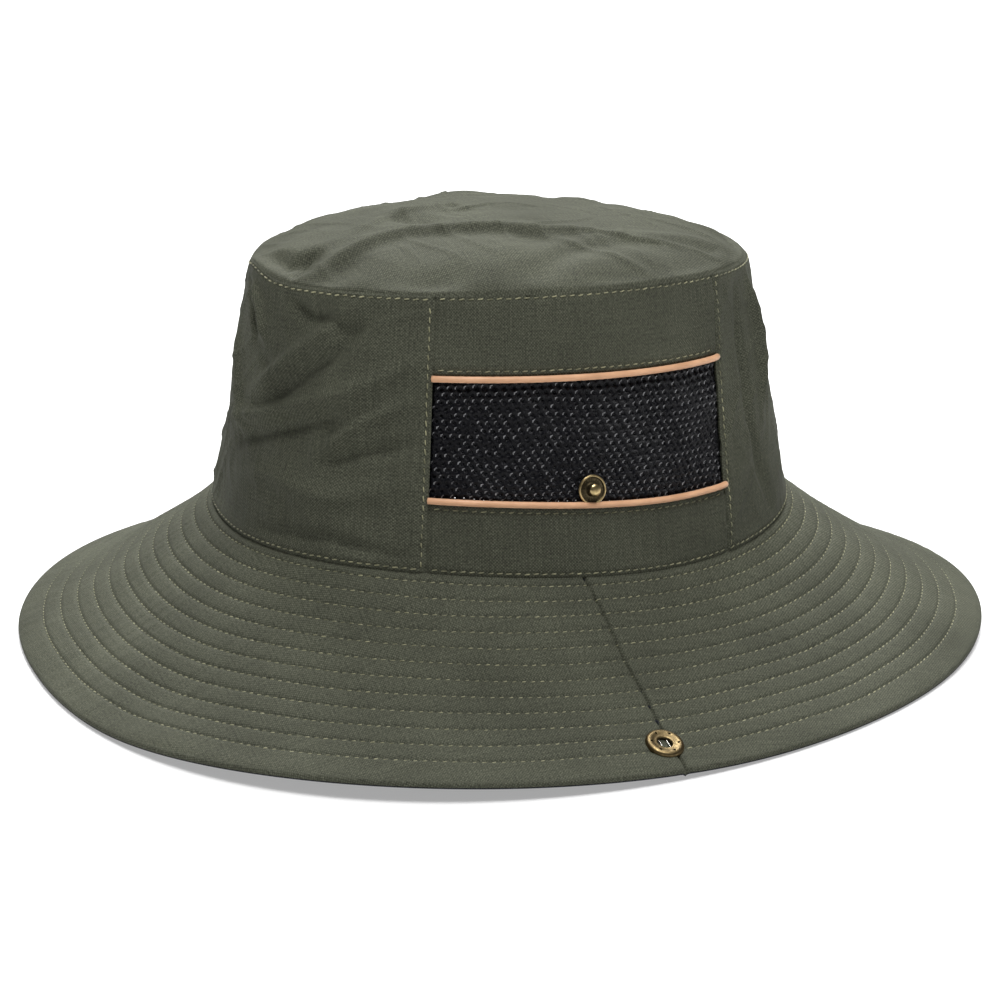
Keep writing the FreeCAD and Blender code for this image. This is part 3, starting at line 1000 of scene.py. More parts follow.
    def piping(self, side: Side, upper: bool) -> bpy.types.Object:
        """The rolled piping along one edge of a window.

        Args:
            side: The side of the hat.
            upper: Whether it is the window's upper edge.

        Returns:
            The piece.
        """
        t = self.window_angles(side, self.seams.upper_edge if upper else self.seams.lower_edge, 140, 0.002)
        u = np.full(t.shape, self.seams.upper_edge) if upper else self.seams.lower(t)
        points, _ = self.wall_line(t, u, 0.25 * MM)
        ends = np.minimum(np.arange(len(t)), np.arange(len(t))[::-1])
        _, normals = self.wall_line(t, u, 0.0)
        points = points - normals * (0.5 * MM * bell(ends / 1.5))[:, None]
        name = f"{side.word}_{'upper' if upper else 'lower'}_piping"
        radius = np.full(len(t), self.piping_radius) * (1 + 0.02 * np.sin(np.arange(len(t)) * 1.7))
        piece = tube_object(name, [(points, radius)], 14)
        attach(piece, "hat")
        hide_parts(name)
        return piece

    def window_angles(self, side: Side, u: float, count: int, spare: float) -> np.ndarray:
        """Angles across a window at height u, running on by a spare angle at both ends.

        Args:
            side: Which window.
            u: A height as a share of the wall.
            count: How many angles are wanted.
            spare: The spare angle, in radians.

        Returns:
            The angles, on that side of the hat.
        """
        first, last = self.seams.front - spare, float(self.seams.rear(u)) + spare
        near = np.linspace(first, last, count)
        return near if side is Side.LEFT else (math.pi - near)[::-1]

    def row(self, t: np.ndarray, u: np.ndarray, drop: float = 0.0) -> SewnRow:
        """The row of stitches along a line on the wall, on a cloth that lies lower by a drop."""
        points, normals = self.wall_line(t, u, -self.thread_sink - drop)
        return SewnRow(points, normals, self.stitch)

    def rows(self) -> list[SewnRow]:
        """Every row of stitches on the crown's wall.

        Returns:
            The rows, ready for the thread.
        """
        seams, half, found = self.seams, math.pi, []
        inset, margin = self.row_inset / WALL, 1.0 / self.spread
        across = np.linspace(0, 1, 500)
        for panel, drop in enumerate((0.0, self.strip_drop, 0.0, self.strip_drop)):
            for level, rear in ((inset, seams.rear_low), (1 - inset, seams.rear_high)):
                bounds = (-half - seams.front, seams.front, rear, half - rear, half - seams.front)
                first, last = bounds[panel:panel + 2]
                t = first + margin + (last - first - 2 * margin) * across
                found.append(self.row(t, np.full(t.shape, level), drop))
        rise = np.linspace(0.02, 0.98, 200)
        gap, aside = (1.0 + self.row_inset) / WALL, self.row_inset / self.spread
        for side in Side:
            found.append(self.row(side.angle(np.full(rise.shape, seams.front - aside)), rise))
            found.append(self.row(side.angle(seams.rear(rise) + aside), rise))
            t = self.window_angles(side, seams.upper_edge, 300, -0.012)
            found.append(self.row(t, np.full(t.shape, seams.upper_edge + gap), self.strip_drop))
            t = self.window_angles(side, seams.lower_edge, 300, -0.012)
            found.append(self.row(t, seams.lower(t) - gap, self.strip_drop))
        return found

    def stitching(self) -> bpy.types.Object:
        """The crown's stitches.

        Returns:
            The piece.
        """
        piece = self.thread.sew("crown_stitching", self.rows(), 41)
        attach(piece, "hat")
        return piece


@dataclass
class Window:
    """A vent window of black knitted mesh: a staggered lattice of small holes between thick yarns."""

    crown: Crown
    side: Side
    pitch: tuple[float, float] = (3.0, 2.2)
    segments: int = 12
    rings: tuple[tuple[float, float], ...] = (
        (1.0, 0.0), (0.80, -0.04), (0.46, -0.26), (0.15, -0.60), (0.17, -0.85), (0.80, -1.0))
    loop: float = 0.22
    tuck: float = 1.5 * MM
    # The share of cells that get a painted highlight.
    shining: float = 0.7
    sink: float = 1.2 * MM
    spare: float = 1.5

    def cell(self) -> np.ndarray:
        """The outline of one hole's cell, from its middle, in millimetres.

        Returns:
            Its points, one pair of numbers each.
        """
        wide, tall = self.pitch[0] / 2, self.pitch[1] * 2 / 3
        corners = np.array([(0, -tall), (wide, -tall / 2), (wide, tall / 2), (0, tall), (-wide, tall / 2),
                            (-wide, -tall / 2)])
        halves = (corners + np.roll(corners, -1, axis=0)) / 2
        return np.stack([corners, halves], axis=1).reshape(-1, 2)

    def lattice(self, columns: int, rows: int) -> tuple[np.ndarray, list]:
        """The lattice laid flat, cell by cell.

        Args:
            columns: How many cells it has across.
            rows: How many it has up.

        Returns:
            Its points, in millimetres, and its faces.
        """
        outline = self.cell()
        hole = unit(outline) * np.array([self.pitch[0] / 2, self.pitch[1] * 0.56])
        loop = self.loop * np.array([0.2, 1.0, -0.3, -1.0, -0.3, 1.0] * 2)
        verts, faces = [], []
        for row in range(rows + 1):
            for column in range(columns + 1):
                middle = np.array([(column + 0.5 * (row % 2)) * self.pitch[0], row * self.pitch[1]])
                faces += grid_faces(len(self.rings), self.segments, True, len(verts) * self.segments)
                for scale, height in self.rings:
                    mix = np.clip((1 - scale) / 0.3, 0, 1)
                    ring = middle + (outline * (1 - mix) + hole * mix) * scale
                    level = height + loop * (1 - mix)
                    verts.append(np.concatenate([ring, level[:, None]], axis=1))
        return np.concatenate(verts), faces

    def hang(self, flat: np.ndarray, columns: int, rows: int, wide: float) -> np.ndarray:
        """Lays the flat lattice in the window, behind its seams and pipings.

        Args:
            flat: The flat lattice's points.
            columns: How many cells it has across.
            rows: How many it has up.
            wide: The window's width with its spare edges, in millimetres.

        Returns:
            The points in their place on the hat.
        """
        crown, seams = self.crown, self.crown.seams
        a, b = flat[:, 0], flat[:, 1]
        a, b = (a + 0.4 * waves(a, b, 34, 51) + 0.12 * waves(a, b, 6, 52),
                b + 0.4 * waves(a, b, 30, 53) + 0.12 * waves(a, b, 6, 54))
        a, b = a / (columns * self.pitch[0]), b / (rows * self.pitch[1])
        margin, spare = self.spare / crown.spread, self.spare / WALL
        bottom = seams.lower(seams.front + a * (seams.rear_low - seams.front)) - spare
        u = bottom + (seams.upper_edge + spare - bottom) * b
        t = self.side.angle(seams.front - margin + a * (seams.rear(u) - seams.front + 2 * margin))
        step = 0.002
        along = crown.form.wall(t + step, u) - crown.form.wall(t - step, u)
        upward = crown.form.wall(t, u + step) - crown.form.wall(t, u - step)
        normal = unit(np.cross(along, upward))
        bag = 0.25 * MM * waves(flat[:, 0], flat[:, 1], 26, 55) + crown.drape.wall(t, np.clip(u, 0, 1))
        tucked = self.tuck * (1 - smooth_step((np.minimum(a, 1 - a) * wide - 0.6) / 2.2))
        return crown.form.wall(t, u) + normal * (flat[:, 2] * MM - self.sink - tucked + bag)[:, None]

    def shine(self, count: int) -> np.ndarray:
        """Picks the faces that get painted highlights, a short arc of most cells' first ring given a light
        grey yarn in place of the glints that light makes on the loops.

        Args:
            count: How many faces the lattice has.

        Returns:
            1 for each face with a painted highlight and 0 for the others.
        """
        step = self.segments * (len(self.rings) - 1)
        chosen = np.random.default_rng(56).random(count // step) < self.shining
        marks = np.zeros(count, np.int32)
        for cell in np.flatnonzero(chosen):
            marks[cell * step + self.segments - 5:cell * step + self.segments - 3] = 1
        return marks

    def build(self) -> bpy.types.Object:
        """The mesh window.

        Returns:
            The piece.
        """
        seams = self.crown.seams
        wide = (seams.rear_high - seams.front) * self.crown.spread + 2 * self.spare
        high = (seams.upper_edge - seams.lower_edge) * WALL + 2 * self.spare
        columns, rows = round(wide / self.pitch[0]), round(high / self.pitch[1])
        flat, faces = self.lattice(columns, rows)
        if self.side is Side.RIGHT:
            faces = [tuple(reversed(face)) for face in faces]
        name = f"{self.side.word}_mesh"
        piece = new_object(name, self.hang(flat, columns, rows, wide), faces, flat[:, :2] * MM)
        # A second slot, for the painted highlights on the marked faces.
        for _ in range(2):
            piece.data.materials.append(None)
        piece.data.polygons.foreach_set("material_index", self.shine(len(faces)))
        work = bmesh.new()
        work.from_mesh(piece.data)
        bmesh.ops.remove_doubles(work, verts=work.verts, dist=2e-6)
        for face in work.faces:
            face.smooth = True
        work.to_mesh(piece.data)
        work.free()
        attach(piece, "hat")
        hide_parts(name)
        return piece


# ---- the brim ----


@dataclass
class Brim:
    """The wide brim: two cloths over a stiffener, sewn through in rows and joined at each side."""

    form: HatForm
    seams: Seams
    thread: Thread
    stitch: float = 3.0
    cloth: float = 0.55 * MM
    puff: float = 0.27
    across: tuple[float, ...] = (0, 0.06, 0.14, 0.28, 0.5, 0.72, 0.86, 0.94)
    quarter: float = 250.0
    under_dip: float = 0.3
    radii: tuple[float, float] = (88.0, 72.0)
    blend_start: float = 0.0882
    blend_end: float = 0.125

    def row_runs(self) -> tuple[np.ndarray, list[np.ndarray]]:
        """Distances along each stitch row, in millimetres, at even angles round the whole brim.

        Returns:
            The angles, and the distances along each row at them.
        """
        t = np.linspace(-math.pi / 2, 1.5 * math.pi, 1441)
        runs = []
        for q in self.seams.brim_rows():
            points = self.form.brim(t, np.full(t.shape, q))
            spans = np.linalg.norm(np.diff(points, axis=0), axis=1)
            runs.append(np.concatenate([[0.0], np.cumsum(spans)]) / MM)
        return t, runs

    def pitch_of(self, run: np.ndarray) -> float:
        """The stitch length that divides a whole row evenly."""
        return run[-1] / round(run[-1] / self.stitch)

    def quilting(self, t: np.ndarray, q: np.ndarray, under: bool) -> np.ndarray:
        """How far the sewn rows and the padding between them lift the cloth, in metres.

        Args:
            t: Angles from the front round to the front again.
            q: Shares of the reach.
            under: Whether it is the under cloth.

        Returns:
            The height at each point.
        """
        rows = np.concatenate([[0.0], self.seams.brim_rows(), [1.01]])
        at = np.clip(np.searchsorted(rows, q, side="right") - 1, 0, len(rows) - 2)
        share = np.clip((q - rows[at]) / (rows[at + 1] - rows[at]), 0, 1)
        arch = np.sin(math.pi * share) ** 0.7
        far = q * self.form.brim_width / MM
        ripple = self.ring_waves(t, far, (52, 120), 26, 61) * 0.55
        ripple = ripple + self.ring_waves(t, far, (120, 260), 14, 62) * 0.25
        total = self.puff * arch * (1 + 0.35 * ripple)
        dense, runs = self.row_runs()
        for place, run in zip(self.seams.brim_rows(), runs):
            away = (q - place) * self.form.brim_width / MM
            near = np.abs(away) < 4
            along = np.interp(t[near], dense, run)
            total[near] += stitch_sink(away[near], along, self.pitch_of(run), 0.30) / MM
        x, y = (60 + far) * np.cos(t), (60 + far) * np.sin(t)
        total += 0.30 * waves(x, y, 42, 63) * smooth_step(q / 0.2) * smooth_step((1 - q) / 0.1)
        total -= 0.4 * bell(np.maximum(far, 0) / 0.9)
        return MM * total * (0.8 if under else 1.0)

    @staticmethod
    def ring_waves(
        t: np.ndarray, far: np.ndarray, counts: tuple[int, int], length: float, seed: int, added: int = 12
    ) -> np.ndarray:
        """Noise that joins up with itself round the brim.

        Args:
            t: Angles.
            far: Distances out from the crown, in millimetres.
            counts: The fewest and most waves round the brim.
            length: The usual wavelength outwards, in millimetres.
            seed: Picks one pattern.
            added: How many waves are added.

        Returns:
            Values of about -1 to 1.
        """
        random = np.random.default_rng(seed)
        total = np.zeros(t.shape)
        for _ in range(added):
            count = random.integers(*counts)
            phase = random.uniform(0, 2 * math.pi)
            total += np.cos(count * t + 2 * math.pi * far / (length * random.uniform(0.7, 1.8)) + phase)
        return total / math.sqrt(added)

    def ends_of(self, side: Side, end: End, q: np.ndarray) -> tuple[np.ndarray, np.ndarray]:
        """The angles between which a quarter of the brim lies, at shares q.

        Args:
            side: The side of the quarter.
            end: The end of the quarter.
            q: Shares of the reach.

        Returns:
            The angles at its side seam and at its other end.
        """
        seam = self.seams.brim_side(q)
        middle = np.full(q.shape, math.pi / 2)
        if side is Side.LEFT:
            return (-middle, seam) if end is End.FRONT else (seam, middle)
        return (math.pi - seam, 3 * middle) if end is End.FRONT else (middle, math.pi - seam)

    def share_rows(self) -> np.ndarray:
        """The shares of the reach at which the cloth has rows of points, from the hem inwards.

        Returns:
            The shares in order.
        """
        marks = np.concatenate([[-0.035, 0.0], self.seams.brim_rows(), [self.form.hem_start]])
        inner = [a + (b - a) * s for a, b in zip(marks[:-1], marks[1:]) for s in self.across]
        return np.array(inner + [marks[-1]])[::-1]

    def place(
        self, side: Side, end: End, q: np.ndarray, columns: np.ndarray
    ) -> tuple[np.ndarray, np.ndarray]:
        """Grids of angles and shares over a quarter of the brim.

        Args:
            side: The side of the quarter.
            end: The end of the quarter.
            q: Shares of the reach.
            columns: Places from 0 to 1 across the quarter.

        Returns:
            The angles and the shares, as grids.
        """
        first, last = self.ends_of(side, end, q)
        t = first[:, None] + (last - first)[:, None] * columns[None]
        return t, np.repeat(q[:, None], len(columns), axis=1)

    def seam_dip(self, t: np.ndarray, q: np.ndarray) -> np.ndarray:
        """How far the cloths turn down along the side seams, in metres.

        Args:
            t: Angles, in radians.
            q: Shares of the reach.

        Returns:
            Distances in metres, 0 or less.
        """
        near = np.where(np.cos(t) > 0, t, math.pi - t)
        spread = self.radii[0] + self.radii[1] * q
        away = np.abs(near - self.seams.brim_side(q)) * spread
        return edge_roll(away, 1.05, 0.45) + 0.12 * MM * bell((away - 1.9) / 1.0)

    def columns(self, side: Side, end: End, count: int) -> np.ndarray:
        """Places from one end of a quarter to the other, closest at its side seam.

        Args:
            side: The side of the quarter.
            end: The end of the quarter.
            count: How many even places there are.

        Returns:
            Places from 0 to 1.
        """
        fine = np.array([0, 0.25, 0.5, 0.8, 1.15, 1.6, 2.2]) / self.quarter
        even = np.linspace(3.0 / self.quarter, 1, count)
        places = np.concatenate([fine, even])
        seam_first = (side is Side.LEFT) == (end is End.REAR)
        return places if seam_first else (1 - places)[::-1]

    def upper(self, side: Side, end: End) -> bpy.types.Object:
        """One quarter of the brim's upper cloth, down over the edge.

        Args:
            side: The side of the quarter.
            end: The end of the quarter.

        Returns:
            The piece.
        """
        q = self.share_rows()
        t, share = self.place(side, end, q, self.columns(side, end, 318))
        base = self.form.brim(t, share)
        normals = grid_normals(base)
        lift = self.quilting(t, share, False) * smooth_step((self.form.hem_start + 0.004 - share) / 0.03)
        lift += self.seam_dip(t, share)
        top = base + normals * lift[..., None]
        turns = np.radians(np.array([126, 108, 90, 72, 54, 36, 18]))
        hem, hem_uv = self.hem(base, normals, turns, lift[0], self.form.ply / 2)
        points = np.concatenate([hem, top])
        uv = np.concatenate([hem_uv + base[0][None, :, :2], base[..., :2] * 1.06])
        name = f"brim_upper_{side.word}_{end.word}"
        return self.finish(name, points, uv, side, end, "upper")

    def hem(
        self, base: np.ndarray, normals: np.ndarray, turns: np.ndarray, lift: np.ndarray, radius: float
    ) -> tuple[np.ndarray, np.ndarray]:
        """Rows of points round the brim's edge.

        Args:
            base: The brim's face, with the hem's row first.
            normals: Its normals.
            turns: How far round the edge each row lies, in radians.
            lift: The face's lift along the hem's row, in metres.
            radius: The edge's radius.

        Returns:
            The rows of points and their cloth coordinates.
        """
        outward = unit(base[0] - base[2])
        middle = base[0] - normals[0] * (radius - lift[:, None])
        rows = [middle + radius * (math.cos(a) * normals[0] + math.sin(a) * outward) for a in turns]
        uv = [outward[:, :2] * a * radius for a in turns]
        return np.stack(rows), np.stack(uv)

    def under(self, side: Side, end: End) -> bpy.types.Object:
        """One quarter of the brim's under cloth, up round the edge to meet the upper one.

        Args:
            side: The side of the quarter.
            end: The end of the quarter.

        Returns:
            The piece.
        """
        q = self.share_rows()
        t, share = self.place(side, end, q, self.columns(side, end, 120))
        base = self.form.brim(t, share)
        normals = grid_normals(base)
        lift = self.quilting(t, share, True) * smooth_step((self.form.hem_start + 0.004 - share) / 0.03)
        dip = self.seam_dip(t, share)
        low = base - normals * (self.form.ply + lift + self.under_dip * dip)[..., None]
        turns = np.radians(np.array([108, 118, 130, 144, 158, 170]))
        hem, hem_uv = self.hem(base, normals, turns, dip[0] * 0.5, self.form.ply / 2 + 0.14 * MM)
        points = np.concatenate([low[::-1], hem[::-1]])
        uv = np.concatenate([base[::-1, :, :2] * 1.06, hem_uv[::-1] + base[0][None, :, :2]])
        name = f"brim_under_{side.word}_{end.word}"
        return self.finish(name, points, uv, side, end, "under")

    def finish(
        self, name: str, points: np.ndarray, uv: np.ndarray, side: Side, end: End, layer: str
    ) -> bpy.types.Object:
        """Makes a cloth of the brim, bakes its placement, and hides the CAD nodes that it stands for.

        Args:
            name: The piece's name.
            points: Its grid of points.
            uv: Its flat layout, in metres.
            side: The side of the quarter.
            end: The end of the quarter.
            layer: Which cloth it is, as the CAD nodes name it.

        Returns:
            The piece.
        """
        piece = sheet_object(name, points, uv, self.cloth)
        self.bend(piece)
        nodes = [f"{side.word}_flap_{layer}_{end.word}"]
        if side is Side.LEFT:
            nodes.append(f"brim_{layer}_{end.word}")
        if layer == "upper" and end is End.FRONT:
            nodes.append(f"{side.word}_flap_stiffener")
            if side is Side.LEFT:
                nodes.append("brim_stiffener")
        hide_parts(*nodes)
        return piece

    @staticmethod
    def area(points: np.ndarray) -> float:
        """The area of a grid of points, in square metres.

        Args:
            points: The grid.

        Returns:
            The area.
        """
        across = np.diff(points, axis=1)[:-1]
        down = np.diff(points, axis=0)[:, :-1]
        return float(np.linalg.norm(np.cross(across, down), axis=-1).sum())

    def bend(self, piece: bpy.types.Object) -> None:
        """Bakes a piece's placement into its mesh.

        Args:
            piece: The piece.
        """
        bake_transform(piece)

    def stitching(self, side: Side, end: End, under: bool) -> bpy.types.Object:
        """The stitches on one quarter of the brim's upper or under cloth.

        Args:
            side: The side of the quarter.
            end: The end of the quarter.
            under: Whether the stitches are on the under cloth.

        Returns:
            The piece.
        """
        found = []
        dense, runs = self.row_runs()
        for place, run in zip(self.seams.brim_rows(), runs):
            pitch = self.pitch_of(run)
            first, last = self.ends_of(side, end, np.array([place]))
            cuts = (np.arange(round(run[-1] / pitch)) + 0.5) * pitch
            angles = np.interp(cuts, run, dense)
            angles = angles[(angles >= first) & (angles < last)]
            if len(angles) < 2:
                continue
            half = 0.5 * (angles[1] - angles[0])
            t = np.linspace(angles[0] - half, angles[-1] + half, len(angles) * 4 + 1)
            grid = np.stack([t] * 3)
            share = np.stack([np.full(t.shape, place + d) for d in (0.004, 0.0, -0.004)])
            base = self.form.brim(grid, share)
            normals = grid_normals(base)
            dip = self.seam_dip(grid, share) * (self.under_dip if under else 1.0)
            lift = self.quilting(grid, share, under) + dip
            if under:
                lift, normals = lift + self.form.ply, -normals
            points = (base + normals * lift[..., None])[1]
            found.append(SewnRow(points, normals[1], pitch * MM))
        name = f"brim_{'under_' if under else ''}stitching_{side.word}_{end.word}"
        thread = replace(self.thread, sides=4) if under else self.thread
        piece = thread.sew(name, found, 71 + 2 * side.value + end.value)
        self.bend(piece)
        return piece


# ---- inside the crown ----


@dataclass
class Lining:
    """What binds the seams inside: the sweatband, the tape under the tip and a tape on each upright seam."""

    crown: Crown
    cloth: float = 0.7 * MM
    inset: float = 1.35 * MM
    tape_inset: float = 2.6 * MM
    tape_half: float = 5.1 * MM
    round_radius: float = 0.094

    def ring(self, name: str, low: float, high: float, roll: float) -> bpy.types.Object:
        """A band right round the inside of the wall.

        Args:
            name: The piece's name, which is its node's too.
            low: The height of its lower edge, as a share of the wall.
            high: The height of its upper edge.
            roll: How far its edges turn towards the wall, in metres.

        Returns:
            The piece.
        """
        t, u = np.meshgrid(np.linspace(0, 2 * math.pi, 361), np.linspace(low, high, 24))
        edge = np.minimum(u - low, high - u) * WALL
        lift = -self.inset - roll * (1 - bell(edge / 1.2))
        lift -= 0.12 * MM * waves(WALL * np.cos(t), DEPTH * np.sin(t), 14, 81)
        base = self.crown.form.wall(t, u)
        relief = self.crown.drape.wall(np.where(t > 1.5 * math.pi, t - 2 * math.pi, t), u)
        points = base + grid_normals(base, True) * (lift + relief * 0.8)[..., None]
        points[:, -1] = points[:, 0]
        length = 2 * math.pi * self.round_radius
        uv = np.stack([t * self.round_radius, u * WALL * MM], axis=-1)
        piece = sheet_object(name, points, uv, self.cloth, closed=True)
        self.hold(piece, name, (length, (high - low) * WALL * MM))
        return piece

    def hold(self, piece: bpy.types.Object, node: str, flat: tuple[float, float]) -> None:
        """Puts a finished lining piece on the hat in its node's stead.

        Args:
            piece: The piece.
            node: The CAD node that it stands for.
            flat: Not used.
        """
        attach(piece, "hat")
        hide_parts(node)

    def upright(self, side: Side, end: End) -> bpy.types.Object:
        """The tape over one upright seam.

        Args:
            side: The side of the hat.
            end: Which of the side's two seams it binds.

        Returns:
            The piece.
        """
        share, u = np.meshgrid(np.linspace(-1, 1, 13), np.linspace(0.27, 0.87, 50))
        seams = self.crown.seams
        line = np.full(u.shape, seams.front) if end is End.FRONT else seams.rear(u)
        t = side.angle(line) + share * self.tape_half / MM / WALL
        lift = -self.tape_inset - 0.25 * MM * (1 - share ** 4)
        points = self.crown.wall_points(t, u, lift)
        name = f"{side.word}_{end.word}_seam_tape"
        uv = np.stack([share * self.tape_half, u * WALL * MM], axis=-1)
        piece = sheet_object(name, points, uv, self.cloth)
        self.hold(piece, name, (0.0103, 0.054))
        return piece


# ---- snaps ----


@dataclass
class Turning:
    """A round metal piece, shaped from a disc by drawing its face up and in, a ring at a time."""

    name: str
    sides: int = 48

    def shape(self, profile: tuple[tuple[float, float], ...]) -> bpy.types.Object:
        """Turns the piece on the Z axis.

        Args:
            profile: The radius and height of each ring, in millimetres, from the rim's underside inwards.

        Returns:
            The closed piece.
        """
        bpy.ops.object.select_all(action="DESELECT")
        first = profile[0]
        bpy.ops.mesh.primitive_circle_add(
            vertices=self.sides, radius=first[0] * MM, fill_type="NGON", location=(0, 0, first[1] * MM))
        piece = bpy.context.object
        piece.name = self.name
        piece.data.name = self.name
        bpy.ops.object.transform_apply(location=True, rotation=True, scale=True)
        bpy.ops.object.mode_set(mode="EDIT")
        bpy.ops.mesh.select_mode(type="FACE")
        bpy.ops.mesh.select_all(action="SELECT")
        before = first
        for ring in profile[1:]:
            rise = (ring[1] - before[1]) * MM
            bpy.ops.mesh.extrude_region_move(TRANSFORM_OT_translate={"value": (0, 0, rise)})
            scale = ring[0] / before[0]
            bpy.ops.transform.resize(value=(scale, scale, 1), center_override=(0, 0, ring[1] * MM))
            before = ring
        bpy.ops.mesh.select_all(action="SELECT")
        bpy.ops.mesh.normals_make_consistent(inside=False)
        bpy.ops.mesh.select_all(action="DESELECT")
        bpy.ops.object.mode_set(mode="OBJECT")
        return piece

    def ribs(self, piece: bpy.types.Object, inner: float, outer: float, depth: float, every: int = 2) -> None:
        """Sinks every other face of a ring, to rib it.

        Args:
            piece: The turned piece.
            inner: The ring's inner radius in millimetres.
            outer: Its outer radius.
            depth: How deep the ribs are, in millimetres.
            every: Sinks one face in this many.
        """
        bpy.ops.object.mode_set(mode="EDIT")
        work = bmesh.from_edit_mesh(piece.data)
        for face in work.faces:
            middle = face.calc_center_median()
            reach = math.hypot(middle.x, middle.y) / MM
            turn = int((math.atan2(middle.y, middle.x) / (2 * math.pi) + 0.5) * self.sides)
            face.select_set(inner < reach < outer and face.normal.z > 0.3 and turn % every == 0)
        bmesh.update_edit_mesh(piece.data)
        bpy.ops.mesh.extrude_region_move(TRANSFORM_OT_translate={"value": (0, 0, -depth * MM)})
        bpy.ops.mesh.select_all(action="DESELECT")
        bpy.ops.object.mode_set(mode="OBJECT")

    @staticmethod
    def darken(piece: bpy.types.Object, inner: float, outer: float) -> None:
        """Marks the upward faces of a ring between two radii in millimetres for the second slot, a darker
        brass that is painted shade in the recess.

        Args:
            piece: The turned piece.
            inner: The ring's inner radius.
            outer: Its outer radius.
        """
        for _ in range(2 - len(piece.data.materials)):
            piece.data.materials.append(None)
        for face in piece.data.polygons:
            reach = math.hypot(face.center.x, face.center.y) / MM
            if inner < reach < outer and face.normal.z > -0.5:
                face.material_index = 1

    @staticmethod
    def soften(piece: bpy.types.Object, width: float, levels: int = 2) -> None:
        """Rounds a piece's sharp edges and shades it.

        Args:
            piece: The turned piece.
            width: How wide each rounding is, in millimetres.
            levels: How many times the piece is subdivided.
        """
        bpy.ops.object.select_all(action="DESELECT")
        piece.select_set(True)
        bpy.context.view_layer.objects.active = piece
        bevel = piece.modifiers.new("rounding", "BEVEL")
        bevel.width = width * MM
        bevel.segments = levels
        bevel.limit_method = "ANGLE"
        bevel.angle_limit = math.radians(28)
        bpy.ops.object.modifier_apply(modifier=bevel.name)
        bpy.ops.object.shade_smooth_by_angle(angle=math.radians(40))

    @staticmethod
    def drill(piece: bpy.types.Object, count: int, reach: float, radius: float, first: float) -> None:
        """Cuts a circle of small round holes through a piece.

        Args:
            piece: The piece to drill.
            count: How many holes there are.
            reach: Their distance from the middle, in millimetres.
            radius: Their radius, in millimetres.
            first: The first hole's angle, in radians.
        """
        for k in range(count):
            turn = first + k * 2 * math.pi / count
            place = (reach * MM * math.cos(turn), reach * MM * math.sin(turn), 0)
            bpy.ops.object.select_all(action="DESELECT")
            bpy.ops.mesh.primitive_cylinder_add(
                vertices=16, radius=radius * MM, depth=20 * MM, location=place)
            drill = bpy.context.object
            cut = piece.modifiers.new("hole", "BOOLEAN")
            cut.object = drill
            cut.operation = "DIFFERENCE"
            cut.solver = "EXACT"
            bpy.context.view_layer.objects.active = piece
            bpy.ops.object.modifier_apply(modifier=cut.name)
            bpy.data.objects.remove(drill, do_unlink=True)


@dataclass(frozen=True)
class Seat:
    """Where a snap sits: a point, the direction it faces and the way along the brim or the wall."""

    point: np.ndarray
    normal: np.ndarray
    along: np.ndarray

    def matrix(self) -> Matrix:
        """The move from the Z axis to the seat.

        Returns:
            The move.
        """
        z = Vector(self.normal).normalized()
        x = Vector(self.along)
        x = (x - z * x.dot(z)).normalized()
        y = z.cross(x)
        turn = Matrix((x, y, z)).transposed().to_4x4()
        return Matrix.Translation(Vector(self.point)) @ turn

    def place(self, piece: bpy.types.Object) -> None:
        """Moves a piece's mesh from the Z axis to the seat."""
        piece.data.transform(self.matrix())
        piece.data.update()


